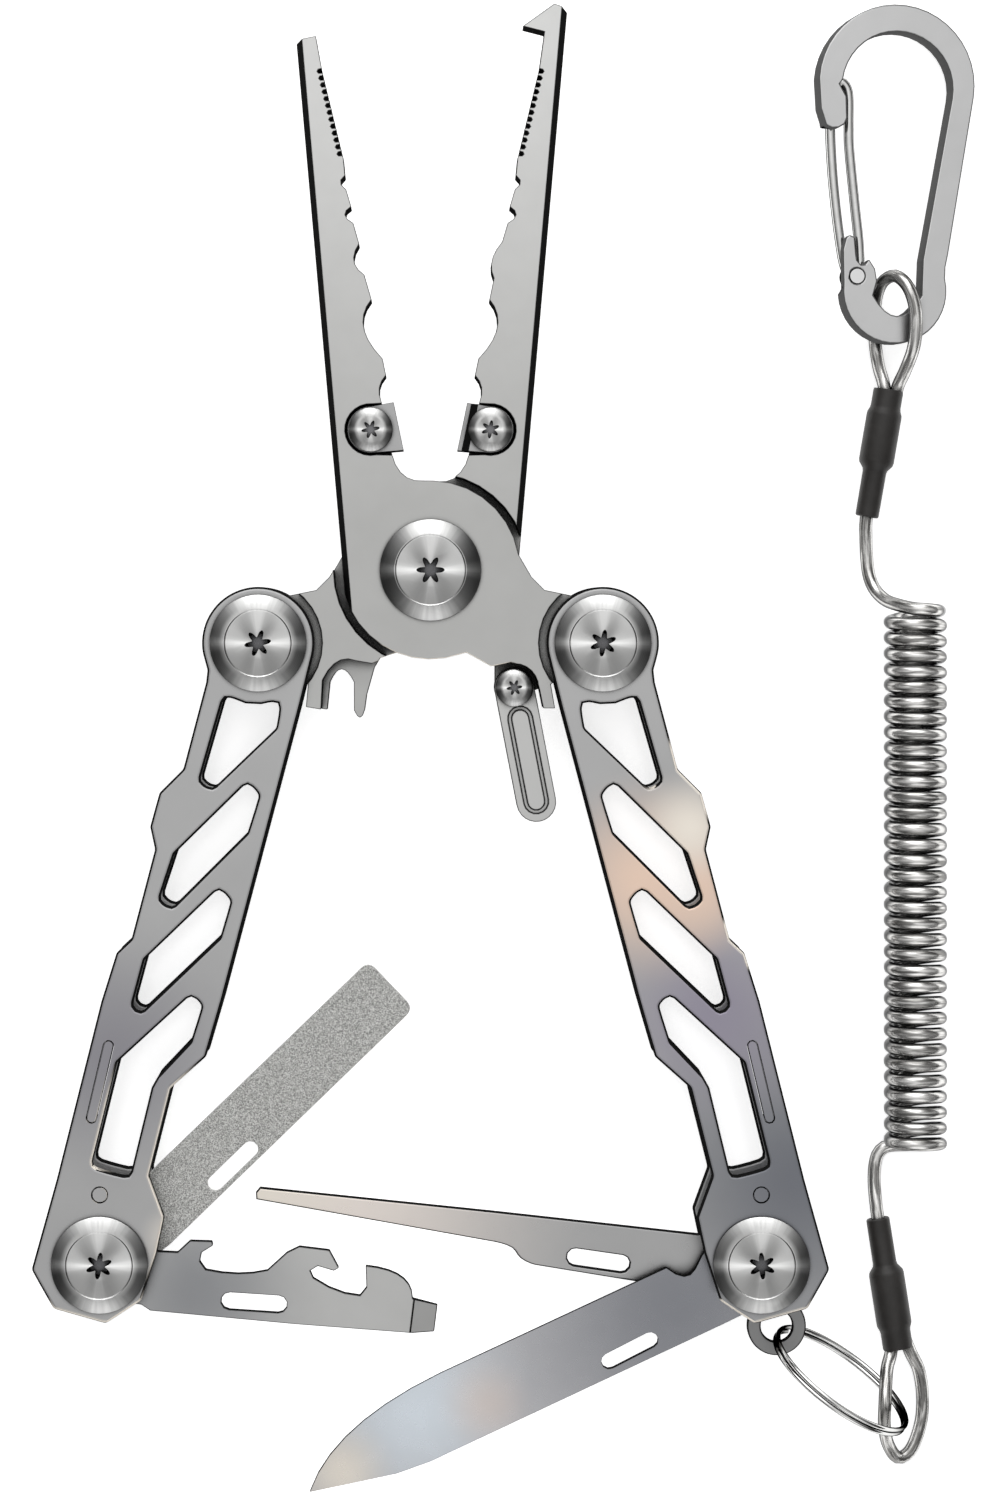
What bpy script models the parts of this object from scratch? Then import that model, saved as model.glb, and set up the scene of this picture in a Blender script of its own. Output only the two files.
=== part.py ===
"""Folding fishing plier multi-tool with a coiled lanyard and a wire-gate carabiner.

The tool lies flat with its front faces up.  The origin is on the jaw pivot's axis, on the rear
face of the pivot's nut.  +X is right, +Y runs along the open jaws, +Z is towards the front.
All outlines are in millimetres, and each moving piece is drawn in the frame of its own joint.
"""
import math

import bmesh
import bpy
from mathutils import Matrix, Vector

MM = 0.001
GAP = 0.3                      # clearance between pieces that touch

# Driving dimensions, mm
HANDLE_PIVOT = (25.0, -10.6)   # right handle's upper pivot, the left one is its mirror image
HANDLE_LENGTH = 93.0           # between a handle's two pivots
HANDLE_TILT = 14.3             # degrees each handle leans out
HEAD_RADIUS = 7.0              # pivot screw heads on the handles
LAP_RADIUS = 13.0              # the round laps of the two jaws
LAP_ROOM = 14.1                # the round wall beside each lap
EAR_RADIUS = 7.3               # jaw ears between the handle plates
EAR_ROOM = 9.3                 # where the jaws step up to full thickness

# Levels above the surface the tool lies on, mm
REAR_HEAD = (0.0, 1.0)
REAR_PLATE = (1.3, 3.2)
INSIDE = (3.5, 10.7)
FRONT_PLATE = (11.0, 12.9)
FRONT_HEAD = (13.2, 14.2)
JAW = (2.6, 11.6)
LAP = 7.1                      # the plane where the two laps meet
TOOL_LEVELS = ((3.5, 5.1), (5.4, 7.0), (7.3, 8.9), (9.2, 10.7))
LEVER = (7.4, 9.9)

# Tools: the angle each is drawn open at, from folded in, degrees
FILE_OPEN = 31.9
OPENER_OPEN = 82.7
AWL_OPEN = 67.5
KNIFE_OPEN = 102.9
TAB_TURN = 180.5
TAB_REACH = 9.9                # from the lower pivot to the tab's eye

# Lanyard, mm
CORD = 1.95
COIL_DIAMETER = 9.4
SLEEVE_RADIUS = 2.4
RING_RADIUS = 11.2
RING_WIRE = 1.5
RING_TILT = 77.0
RING_CENTRE = (59.58, -117.63)
CARABINER_TILT = 8.0
CARABINER_THICKNESS = 4.0
GATE_WIRE = 1.5
GATE_EYE = 1.85                # outer radius of the gate's eye


# ---------------------------------------------------------------- outlines

def arc(centre, radius, start, end, steps):
    """Points on a circle from one angle to another, in degrees."""
    angles = (math.radians(start + (end - start) * i / steps) for i in range(steps + 1))
    return [(centre[0] + radius * math.cos(a), centre[1] + radius * math.sin(a)) for a in angles]


def circle(centre, radius, steps=24):
    return arc(centre, radius, 0, 360, steps)[:-1]


def bow(start, middle, end, steps=6):
    """An arc-like curve through three points."""
    a, b, c = Vector(start), Vector(middle), Vector(end)
    control = 2 * b - (a + c) / 2
    ts = (i / steps for i in range(steps + 1))
    return [tuple(a * (1 - t) ** 2 + control * 2 * t * (1 - t) + c * t * t) for t in ts]


def rounded(points, radius, steps=3):
    """The polygon with each corner eased to the given radius."""
    result = []
    count = len(points)
    for i, point in enumerate(points):
        p = Vector(point)
        before = Vector(points[i - 1]) - p
        after = Vector(points[(i + 1) % count]) - p
        half = before.angle(after) / 2
        reach = min(radius / math.tan(half), before.length * 0.45, after.length * 0.45)
        a = p + before.normalized() * reach
        b = p + after.normalized() * reach
        for k in range(steps + 1):
            t = k / steps
            result.append(tuple(a * (1 - t) ** 2 + p * 2 * t * (1 - t) + b * t * t))
    return result


def mirrored(points):
    return [(-x, y) for x, y in reversed(points)]


def stadium(start, end, width, steps=6):
    """A slot with round ends between two centres."""
    heading = math.degrees(math.atan2(end[1] - start[1], end[0] - start[0]))
    return (arc(end, width / 2, heading - 90, heading + 90, steps)
            + arc(start, width / 2, heading + 90, heading + 270, steps))


def smooth_route(points, spacing):
    """Evenly spaced points on a smooth curve through the given ones."""
    knots = [Vector(p) for p in points]
    knots = [2 * knots[0] - knots[1]] + knots + [2 * knots[-1] - knots[-2]]
    fine = []
    for a, b, c, d in zip(knots, knots[1:], knots[2:], knots[3:]):
        for k in range(24):
            t = k / 24
            fine.append(0.5 * (2 * b + (c - a) * t + (2 * a - 5 * b + 4 * c - d) * t * t
                               + (3 * b - a - 3 * c + d) * t ** 3))
    fine.append(knots[-2])
    reach = [0.0]
    for a, b in zip(fine, fine[1:]):
        reach.append(reach[-1] + (b - a).length)
    count = max(2, round(reach[-1] / spacing))
    result = []
    k = 0
    for i in range(count + 1):
        target = reach[-1] * i / count
        while k < len(fine) - 2 and reach[k + 1] < target:
            k += 1
        share = (target - reach[k]) / (reach[k + 1] - reach[k])
        result.append(fine[k].lerp(fine[k + 1], min(1.0, share)))
    return result


# ---------------------------------------------------------------- meshes

def evaluated_mesh(thing):
    """The object's mesh after its modifiers, welded; the object is removed."""
    graph = bpy.context.evaluated_depsgraph_get()
    graph.update()
    mesh = bpy.data.meshes.new_from_object(thing.evaluated_get(graph))
    bpy.data.objects.remove(thing)
    work = bmesh.new()
    work.from_mesh(mesh)
    bmesh.ops.remove_doubles(work, verts=work.verts, dist=1e-6)
    bmesh.ops.recalc_face_normals(work, faces=work.faces)
    work.to_mesh(mesh)
    work.free()
    return mesh


def add_curve(name, loops, cyclic=True):
    """A curve object of straight splines, from points in millimetres."""
    curve = bpy.data.curves.new(name, "CURVE")
    for loop in loops:
        spline = curve.splines.new("POLY")
        spline.points.add(len(loop) - 1)
        for place, point in zip(spline.points, loop):
            xyz = tuple(c * MM for c in point)
            place.co = xyz + (0.0,) * (3 - len(xyz)) + (1.0,)
        spline.use_cyclic_u = cyclic
    thing = bpy.data.objects.new(name, curve)
    bpy.context.scene.collection.objects.link(thing)
    return thing


def prism(outline, levels, holes=()):
    """A flat plate: an outline with holes, between two levels."""
    thing = add_curve("prism", [outline, *holes])
    thing.data.dimensions = "2D"
    thing.data.fill_mode = "BOTH"
    thing.data.extrude = (levels[1] - levels[0]) / 2 * MM
    mesh = evaluated_mesh(thing)
    mesh.transform(Matrix.Translation((0, 0, (levels[0] + levels[1]) / 2 * MM)))
    return mesh


def turned(profile, centre=(0, 0), steps=24):
    """A turned piece: (radius, height) points from axis to axis, or a closed ring off the axis."""
    work = bmesh.new()
    rings = []
    for radius, height in profile:
        count = steps if radius > 0 else 1
        ring = [work.verts.new(((centre[0] + radius * math.cos(i * math.tau / steps)) * MM,
                                (centre[1] + radius * math.sin(i * math.tau / steps)) * MM,
                                height * MM)) for i in range(count)]
        rings.append(ring)
    pairs = list(zip(rings, rings[1:]))
    if profile[0][0] > 0:
        pairs.append((rings[-1], rings[0]))
    for a, b in pairs:
        for i in range(steps):
            j = (i + 1) % steps
            corners = [a[i % len(a)], a[j % len(a)], b[j % len(b)], b[i % len(b)]]
            work.faces.new(list(dict.fromkeys(corners)))
    bmesh.ops.recalc_face_normals(work, faces=work.faces)
    mesh = bpy.data.meshes.new("turned")
    work.to_mesh(mesh)
    work.free()
    return mesh


def tube(points, diameter, resolution=2):
    """A round bar along a line of points, as a mesh."""
    thing = add_curve("tube", [points], cyclic=False)
    thing.data.dimensions = "3D"
    thing.data.bevel_depth = diameter / 2 * MM
    thing.data.bevel_resolution = resolution
    thing.data.use_fill_caps = True
    return evaluated_mesh(thing)


def combined(mesh, tools, operation):
    """The mesh with each tool mesh cut away or joined on."""
    for tool in tools:
        base = bpy.data.objects.new("base", mesh)
        other = bpy.data.objects.new("tool", tool)
        bpy.context.scene.collection.objects.link(base)
        bpy.context.scene.collection.objects.link(other)
        modifier = base.modifiers.new("combine", "BOOLEAN")
        modifier.operation = operation
        modifier.solver = "EXACT"
        modifier.object = other
        mesh = evaluated_mesh(base)
        bpy.data.objects.remove(other)
    return mesh


def cut(mesh, *tools):
    return combined(mesh, tools, "DIFFERENCE")


def joined(mesh, *tools):
    return combined(mesh, tools, "UNION")


# ---------------------------------------------------------------- objects

def surface(name, colour, roughness, metallic=1.0):
    """A Principled material."""
    material = bpy.data.materials.new(name)
    material.use_nodes = True
    shader = material.node_tree.nodes["Principled BSDF"]
    shader.inputs["Base Color"].default_value = (*colour, 1.0)
    shader.inputs["Roughness"].default_value = roughness
    shader.inputs["Metallic"].default_value = metallic
    return material


def add_part(name, data, joint, material):
    """A named sub-part in the frame of its joint's empty."""
    data.name = name
    if isinstance(data, bpy.types.Mesh):
        data.shade_smooth()
        data.set_sharp_from_angle(angle=math.radians(30))
    data.materials.clear()
    data.materials.append(material)
    thing = bpy.data.objects.new(name, data)
    bpy.context.scene.collection.objects.link(thing)
    thing.parent = joint
    return thing


def add_joint(name, place, turn=0.0, parent=None, tilt=0.0):
    """An empty on a joint's axis: its place in millimetres and its turn about Z in degrees."""
    empty = bpy.data.objects.new(name, None)
    bpy.context.scene.collection.objects.link(empty)
    empty.empty_display_size = 5 * MM
    empty.location = Vector((*place, 0.0)[:3]) * MM
    empty.rotation_euler = (0, math.radians(tilt), math.radians(turn))
    empty.parent = parent
    return empty


# ---------------------------------------------------------------- jaws

TEETH_START = (-15.8, 72.9)
TEETH_END = (-12.65, 59.9)
TEETH = 13
TOOTH_DEPTH = 0.75
TOOTH_FLOOR = 8.0              # the notches are cut down to this level
TAPER_START = 26.0             # where the rear of each jaw begins to thin towards its tip
EDGE_DRAFT = 0.9               # how far the outer edges lean in at the front
EDGE_RUN_OUT = 9.0             # how far that lean carries on past a jaw's straight edge
SCOOP = ((-10.35, 47.4), (-11.1, 44.9), (-9.6, 42.9))     # the left jaw's third scallop
BULGE = ((-10.4, 47.7), (-8.9, 45.0), (-9.2, 42.4))       # what the right jaw has there, mirrored
CUTTER_SCREW = (-8.7, 20.4)
CUTTER_EDGE = ((-5.35, 24.4), (-3.9, 17.4))
PIVOT_HOLE = 3.6
LEVER_PIVOT = (12.2, -17.1)
STUD_REACH = 17.7


def gripping_edge(third):
    """The left jaw's inner edge below its tip: the toothed stretch, scallops and lap."""
    points = [TEETH_START, TEETH_END]
    points += bow((-12.4, 57.3), (-13.05, 56.3), (-12.25, 55.3), 3)
    points += bow((-11.5, 52.8), (-12.4, 51.6), (-11.2, 50.4), 4)
    points += bow(*third, 5)
    points += bow((-8.55, 39.3), (-9.7, 35.3), (-6.95, 30.7), 7)
    points += bow((-6.45, 28.3), (-7.4, 26.5), (-7.1, 24.4), 4)
    points += bow((-5.6, 16.9), (-3.9, 13.8), (-0.9, LAP_RADIUS), 5)
    return points


def lap_arc(start, end):
    return arc((0, 0), LAP_RADIUS, start, end, max(3, int(abs(end - start) / 10)))


def teeth_cutter(side):
    """A row of drop-shaped notches along the gripping edge, open at the edge."""
    start, end = Vector(TEETH_START), Vector(TEETH_END)
    along = (end - start).normalized()
    inward = Vector((along.y, -along.x))
    notches = []
    for i in range(TEETH):
        middle = start.lerp(end, (i + 0.3) / TEETH)
        notch = [middle - along * 0.25 - inward * 0.4, middle + along * 0.5 - inward * 0.4,
                 middle + along * 0.3 + inward * TOOTH_DEPTH * 0.8, middle + inward * TOOTH_DEPTH,
                 middle - along * 0.25 + inward * TOOTH_DEPTH * 0.7]
        notch = [tuple(point) for point in notch]
        notches.append(notch if side < 0 else mirrored(notch))
    return prism(notches[0], (TOOTH_FLOOR, JAW[1] + 1), notches[1:])


def taper_wedge():
    """A wedge that thins a jaw at its rear, from the cutters to its tip."""
    side = [(TAPER_START, JAW[0]), (90.0, JAW[0] + 4.5), (90.0, JAW[0] - 2.0),
            (TAPER_START, JAW[0] - 2.0)]
    wedge = prism(side, (-40.0, 40.0))
    wedge.transform(Matrix(((0, 0, 1, 0), (1, 0, 0, 0), (0, 1, 0, 0), (0, 0, 0, 1))))
    return wedge


def edge_slab(start, end):
    """A leaning slab to the left of a line, that drafts the front half of a jaw's outer edge."""
    line = Vector(end) - Vector(start)
    low, high = -EDGE_RUN_OUT, line.length + EDGE_RUN_OUT
    slab = prism([(low, 0.0), (high, 0.0), (high, 3.0), (low, 3.0)], (LAP, JAW[1] + 1))
    lean = EDGE_DRAFT / (JAW[1] - LAP)
    slab.transform(Matrix(((1, 0, 0, 0), (0, 1, -lean, lean * LAP * MM), (0, 0, 1, 0), (0, 0, 0, 1))))
    turn = Matrix.Rotation(math.atan2(line.y, line.x), 4, "Z")
    slab.transform(Matrix.Translation(Vector((*start, 0.0)) * MM) @ turn)
    return slab


def ear_steps(side):
    """Cutters that thin a jaw's ear so that it fits between the handle plates."""
    centre = (side * HANDLE_PIVOT[0], HANDLE_PIVOT[1])
    return [prism(circle(centre, EAR_ROOM, 32), levels)
            for levels in ((INSIDE[1], JAW[1] + 1), (JAW[0] - 1, INSIDE[0]))]


def cutter_pocket(side):
    """The pocket for a cutter insert, open at the gripping edge."""
    room = 3.75
    pocket = [(-3.0, 24.5), *arc(CUTTER_SCREW, room, 85, 283, 14), (-2.0, 16.6)]
    points = pocket if side < 0 else mirrored(pocket)
    return prism(points, (5.0, JAW[1] + 1))


def jaw_cuts(side, lap_levels):
    """What every jaw has cut out: lap room, ear steps, pocket, holes and taper."""
    screw = (-side * CUTTER_SCREW[0], CUTTER_SCREW[1])
    ear = (-side * HANDLE_PIVOT[0], HANDLE_PIVOT[1])
    return [prism(circle((0, 0), LAP_ROOM, 36), lap_levels),
            *ear_steps(-side),
            cutter_pocket(side),
            prism(circle(screw, 1.5, 16), (3.8, 6.0)),
            prism(circle((0, 0), PIVOT_HOLE, 20), (JAW[0] - 1, JAW[1] + 1)),
            prism(circle(ear, 2.8, 16), (JAW[0] - 1, JAW[1] + 1)),
            teeth_cutter(side),
            taper_wedge()]


def front_jaw_mesh():
    ear = HANDLE_PIVOT
    tip = (-19.6, 77.0)
    outline = [tip, (-16.65, 77.6), *gripping_edge(SCOOP), *lap_arc(88, 10),
               (14.7, -1.0), (16.6, -2.9), *arc(ear, EAR_RADIUS, 115, -138, 20),
               (17.5, -16.6), (18.1, -20.1), (16.4, -20.1),
               *bow((15.8, -17.2), (14.6, -14.7), (11.7, -13.4), 4),
               (8.8, -14.0), (5.2, -12.0), *lap_arc(-70, -186)]
    mesh = prism(outline, JAW)
    lobe = [(9.4, -13.0), *arc(LEVER_PIVOT, 2.9, 165, 350, 12), (17.0, -17.0), (14.5, -12.5)]
    mesh = joined(mesh, prism(lobe, (3.5, LAP - 0.05)))
    lever_room = prism(circle(LEVER_PIVOT, 3.5, 24), (LAP - 0.05, JAW[1] + 1))
    lever_hole = prism(circle(LEVER_PIVOT, 1.4, 16), (4.4, JAW[1] + 1))
    return cut(mesh, *jaw_cuts(-1, (JAW[0] - 1, LAP + GAP / 2)), lever_room, lever_hole,
               edge_slab((-LAP_RADIUS, 1.4), tip))


def back_jaw_mesh():
    ear = (-HANDLE_PIVOT[0], HANDLE_PIVOT[1])
    fork = [(-17.8, -16.6), (-18.1, -19.9), (-15.1, -20.4),
            *bow((-14.7, -16.4), (-13.0, -14.5), (-11.2, -16.4), 8),
            *bow((-11.2, -20.5), (-10.3, -21.6), (-9.6, -20.4), 4),
            (-9.3, -18.2), (-8.2, -14.3), (-7.3, -12.8)]
    tip = (20.0, 81.6)
    outline = [tip, (18.0, 82.3), (13.4, 79.0), (16.55, 78.2),
               *[(-x, y) for x, y in gripping_edge(BULGE)], *lap_arc(92, 170),
               (-14.7, -1.0), (-16.6, -2.9), *arc(ear, EAR_RADIUS, 65, 318, 20),
               *fork, *lap_arc(-112, 6)]
    fork_room = [(-6.0, -12.4), (-6.9, -12.9), (-8.5, -13.6),
                 *bow((-10.8, -13.2), (-13.5, -13.3), (-15.7, -16.0), 5),
                 (-16.1, -24.0), (-6.0, -24.0)]
    lap_levels = (LAP - GAP / 2, JAW[1] + 1)
    return cut(prism(outline, JAW), prism(fork_room, lap_levels), *jaw_cuts(1, lap_levels),
               edge_slab(tip, (LAP_RADIUS, 1.4)))


def cutter_mesh(side, bevelled):
    """A carbide insert; the right one has its front edge ground back."""
    outline = [CUTTER_EDGE[1], CUTTER_EDGE[0], *arc(CUTTER_SCREW, 3.4, 88, 280, 14)]
    mesh = prism(outline if side < 0 else mirrored(outline), (5.3, 11.3))
    screw = (-side * CUTTER_SCREW[0], CUTTER_SCREW[1])
    cuts = [prism(circle(screw, 1.5, 16), (4.0, 13.0))]
    if bevelled:
        wedge = prism([(0.0, 12.0), (5.35, 12.0), (4.0, 9.5), (0.0, 9.5)], (-12.0, 12.0))
        lay = Matrix(((1, 0, 0, 0), (0, 0, -1, 0), (0, 1, 0, 0), (0, 0, 0, 1)))
        lean = Matrix.Rotation(math.radians(-11.7), 4, "Z")
        wedge.transform(Matrix.Translation((0.9 * MM, 19.5 * MM, 0)) @ lean @ lay)
        cuts.append(wedge)
    return cut(mesh, *cuts)


def small_screw(centre, head, shank_end, head_radius, shank_radius):
    """A countersunk-looking screw: a low cone on a straight shank."""
    low, high = head
    profile = [(0, shank_end), (shank_radius, shank_end), (shank_radius, low), (head_radius, low),
               (head_radius, high - 0.35), (head_radius - 0.6, high), (0, high)]
    return turned(profile, centre, 16)


def pivot_screw(head, radius, shank_radius, shank_end, centre=(0, 0)):
    """A wide pivot screw with a conical rim around its flat middle."""
    low, high = head
    profile = [(0, shank_end), (shank_radius, shank_end), (shank_radius, low), (radius, low),
               (radius, low + 0.3), (radius * 0.71, high), (0, high)]
    return turned(profile, centre)


def barrel_nut(head, radius, barrel, top, centre=(0, 0)):
    """The pivot's other half: a wide flange with a hollow barrel that the pieces turn on."""
    low, high = head
    outer, inner = barrel
    profile = [(0, low), (radius - 0.4, low), (radius, low + 0.4), (radius, high), (outer, high),
               (outer, top), (inner, top), (inner, high + 0.6), (0, high + 0.6)]
    return turned(profile, centre, 20)


def lever_mesh():
    """The handle lock: a flat lever with a grooved thumb pad and a stud underneath."""
    end = (0.0, -17.0)
    plate = prism(stadium((0, 0), end, 5.8, 12), LEVER, [circle((0, 0), 1.4, 16)])
    groove = prism(stadium((0, -4.6), (0, -16.9), 3.6, 8), (LEVER[1] - 0.35, LEVER[1] + 1),
                   [stadium((0, -4.6), (0, -16.9), 2.5, 8)])
    stud = turned([(0, 4.0), (1.4, 4.0), (1.4, LEVER[0] + 0.6), (0, LEVER[0] + 0.6)],
                  (0, -STUD_REACH), 16)
    return cut(joined(plate, stud), groove)


# ---------------------------------------------------------------- handles

def handle_outline():
    """The left handle plate, from its upper pivot down."""
    head = arc((0, 0), 8.15, 2, 214, 16)
    edge = [(-6.15, -5.6), (-5.9, -7.4), (-6.0, -20.4), (-8.5, -24.6), (-8.6, -29.7), (-7.1, -32.7),
            (-7.2, -46.1), (-8.8, -48.6), (-9.2, -56.0), (-9.1, -82.7), (-9.4, -96.2), (-4.9, -100.9),
            (3.0, -101.1), (7.1, -96.6), (7.6, -89.3), (7.4, -84.1), (3.75, -78.8), (3.7, -65.6),
            (7.5, -60.0), (7.8, -51.4), (8.2, -7.4)]
    eased = rounded([head[0], head[-1], *edge], 1.1, 2)[6:]
    return head + eased


WINDOWS = (
    [(-2.9, -8.6), (0.4, -8.95), (2.6, -8.5), (5.2, -7.3), (5.6, -11.3), (-1.2, -22.2), (-3.3, -21.6)],
    [(3.5, -19.9), (5.6, -21.3), (5.3, -27.1), (-2.6, -40.4), (-4.7, -39.7), (-4.2, -32.6)],
    [(3.3, -35.8), (5.4, -37.2), (5.2, -42.8), (-3.2, -56.2), (-4.7, -55.6), (-4.6, -48.5)],
    [(3.2, -51.8), (5.1, -52.9), (4.8, -58.5), (1.4, -64.6), (0.95, -66.3), (1.1, -79.7),
     (-4.7, -79.6), (-4.8, -64.0)],
)
BAR_SLOT = ((-6.6, -61.9), (-6.4, -72.7))
PIN_PLACE = (-2.5, -83.2)
SPACERS = {"upper": (5.9, 8.0, -24.8, -29.6), "lower": (6.3, 8.5, -49.8, -57.8)}


def plate_mesh(side, levels):
    """A handle plate with its four windows, bar slot, pin hole and pivot holes."""
    shapes = [handle_outline()]
    shapes += [rounded(window, 1.0, 2) for window in WINDOWS]
    shapes.append(stadium(*BAR_SLOT, 1.35 + GAP, 5))
    shapes.append(circle(PIN_PLACE, 1.1 + GAP / 2, 12))
    shapes += [circle((0, 0), 2.8, 16), circle((0, -HANDLE_LENGTH), 2.8, 16)]
    if side > 0:
        shapes = [mirrored(shape) for shape in shapes]
    return prism(shapes[0], levels, shapes[1:])


def add_handle(side, word, joint, materials):
    """One handle's own pieces, in the frame of its upper pivot."""
    steel = materials["handle_" + word]
    add_part(word + "_front_plate", plate_mesh(side, FRONT_PLATE), joint, steel)
    add_part(word + "_rear_plate", plate_mesh(side, REAR_PLATE), joint, steel)
    for level, (near, far, high, low) in SPACERS.items():
        points = rounded([(side * near, low), (side * far, low), (side * far, high),
                          (side * near, high)], 0.6, 2)
        add_part(word + "_spacer_" + level, prism(points, INSIDE), joint, materials["dark"])
    for place, y in (("upper", 0.0), ("lower", -HANDLE_LENGTH)):
        screw = pivot_screw(FRONT_HEAD, HEAD_RADIUS, 1.4, 1.9, (0, y))
        nut = barrel_nut(REAR_HEAD, HEAD_RADIUS, (2.4, 1.7), FRONT_PLATE[1], (0, y))
        add_part(f"{word}_{place}_pivot_screw", screw, joint, materials["screw"])
        add_part(f"{word}_{place}_pivot_nut", nut, joint, materials["screw"])
    bar = [(side * -x, y) for x, y in stadium(*BAR_SLOT, 1.35, 5)]
    pin = circle((side * -PIN_PLACE[0], PIN_PLACE[1]), 1.1, 12)
    inset = (FRONT_PLATE[0] - 0.2, FRONT_PLATE[1] - 0.1)
    add_part(word + "_key_bar", prism(bar, inset), joint, steel)
    add_part(word + "_plate_pin", prism(pin, inset), joint, steel)


# ---------------------------------------------------------------- folding tools

TANG_HOLE = circle((0, 0), 2.8, 16)


def thumb_slot(start, end, width=2.5):
    return stadium(start, end, width, 5)


def file_mesh(levels):
    blade = rounded([(9.0, -5.2), (58.3, -5.0), (58.3, 4.6), (15.2, 4.4)], 1.6, 4)
    outline = [*arc((0, 0), 6.2, 148, 222, 6), (9.0, -5.2), *blade[5:15], (15.2, 4.4)]
    slot = thumb_slot((19.7, -3.35), (26.9, -3.3), 2.3)
    return prism(outline, levels, [TANG_HOLE, slot])


def opener_mesh(levels):
    hook = [*bow((45.7, 0.3), (43.6, 3.3), (38.3, 4.2), 7), (38.8, 1.1),
            *bow((38.0, -0.2), (34.6, 0.1), (31.0, 1.5), 3),
            (30.4, 2.5), (31.4, 3.3), (33.8, 2.9), (34.5, 3.4)]
    hump = [(32.8, 5.8), (28.4, 5.8), (26.7, 4.7), *bow((24.2, 1.8), (20.0, 0.8), (15.3, 0.8), 4),
            (14.3, 1.9), (14.4, 3.2), (15.9, 4.4), (15.7, 5.0), (12.5, 4.7), (10.9, 2.8), (8.1, 2.6)]
    outline = [(6.6, -5.4), (8.0, -6.1), (28.9, -5.5), (46.3, -4.7), (49.4, -4.2), (49.4, -0.2),
               *hook, *hump, *arc((0, 0), 5.6, 60, 285, 16)]
    slot = thumb_slot((19.3, -3.3), (26.4, -2.9))
    mesh = prism(outline, levels, [TANG_HOLE, slot])
    side = [(45.9, levels[1] + 1), (50.5, levels[1] + 1), (50.5, levels[0] + 0.5),
            (45.9, levels[1] - 0.01)]
    chisel = prism(side, (-8.0, 8.0))
    chisel.transform(Matrix(((1, 0, 0, 0), (0, 0, -1, 0), (0, 1, 0, 0), (0, 0, 0, 1))))
    return cut(mesh, chisel)


def awl_mesh(levels):
    outline = [(74.2, 1.2), (73.7, 0.4), (39.3, -1.0), (9.1, -2.0), *arc((0, 0), 5.6, -30, -300, 16),
               (7.9, 2.2), (9.9, 4.5), (12.6, 5.9), (16.3, 6.2), (32.1, 5.9), (34.4, 5.2),
               (35.8, 3.9), (38.6, 3.4), (74.0, 2.2)]
    return prism(outline, levels, [TANG_HOLE, thumb_slot((19.6, 3.9), (26.4, 3.9))])


def knife_mesh(levels):
    """The blade: its spine is +Y and its edge -Y, ground to a thin edge from the rear."""
    belly = bow((44.0, -6.1), (62.2, -5.3), (74.0, 0.4), 8)
    outline = [*arc((0, 0), 6.4, 84, 300, 16), (7.0, -4.2),
               *bow((8.9, -2.8), (10.9, -2.6), (12.6, -4.9), 4), (25.0, -5.4), *belly,
               (61.5, 3.8), (56.3, 4.5), (9.0, 6.2)]
    mesh = prism(outline, levels, [TANG_HOLE, thumb_slot((19.5, 3.4), (26.3, 3.4), 2.3)])
    low, high = levels
    side = [(-1.6, low), (-9.0, high - 0.2), (-9.0, low - 2.0), (-1.6, low - 2.0)]
    grind = prism(side, (13.5, 80.0))
    grind.transform(Matrix(((0, 0, 1, 0), (1, 0, 0, 0), (0, 1, 0, 0), (0, 0, 0, 1))))
    return cut(mesh, grind)


def tab_mesh(levels):
    """The lanyard tab: an eye on the pivot and a ring end that stands out below the handle."""
    outline = [*arc((0, 0), 5.0, 50, 310, 16), *arc((TAB_REACH, 0), 4.3, -130, 130, 16)]
    return prism(outline, levels, [TANG_HOLE, circle((TAB_REACH, 0), 2.3, 20)])


def washer_mesh(levels):
    low, high = levels
    return turned([(2.7, low), (3.3, low), (3.3, high), (2.7, high)], (0, 0), 20)


# ---------------------------------------------------------------- lanyard

BOTTOM_SLEEVE = ((68.9, -114.6, 2.6), (65.9, -95.4, 2.5))
TOP_SLEEVE = ((64.3, 7.9, 2.5), (67.5, 26.6, 2.6))
COIL_ENDS = (-85.2, -7.2)
COIL_X = 71.2
BOTTOM_LOOP = ((67.75, -115.5, 2.6), (67.1, -117.2, 4.3), (66.7, -119.6, 6.2), (66.45, -122.3, 7.3),
               (66.5, -125.2, 6.2), (67.3, -128.5, 3.6), (69.0, -130.9, 1.55), (71.0, -129.8, 1.05),
               (72.4, -126.0, 1.05), (72.7, -122.0, 1.05), (72.1, -118.0, 1.35), (70.7, -115.1, 2.3))
BOTTOM_LEAD = ((65.8, -95.0, 2.4), (65.6, -92.8, 1.9), (65.5, -90.6, 1.3), (65.7, -88.6, 1.15),
               (66.2, -87.2, 1.6), (66.8, -86.4, 2.6))
TOP_LEAD = ((74.85, -6.0, 5.5), (73.9, -5.95, 7.2), (72.4, -5.85, 8.2), (70.6, -5.6, 8.1),
            (68.6, -5.1, 6.6), (66.9, -4.4, 4.6), (65.5, -2.9, 3.0), (64.7, -0.9, 2.2),
            (64.35, 1.8, 2.0), (64.2, 5.0, 2.2), (64.25, 7.5, 2.4))
TOP_LOOP = ((66.85, 27.3, 2.4), (66.2, 30.0, 1.4), (65.7, 33.5, 1.1), (65.6, 37.3, 1.1),
            (65.8, 40.3, 1.4), (66.6, 42.5, 3.2), (68.2, 43.2, 5.4), (69.8, 41.6, 7.0),
            (70.8, 38.8, 7.4), (71.0, 35.5, 7.5), (70.7, 32.4, 6.6), (69.7, 29.2, 4.2),
            (68.9, 27.25, 2.8))


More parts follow.
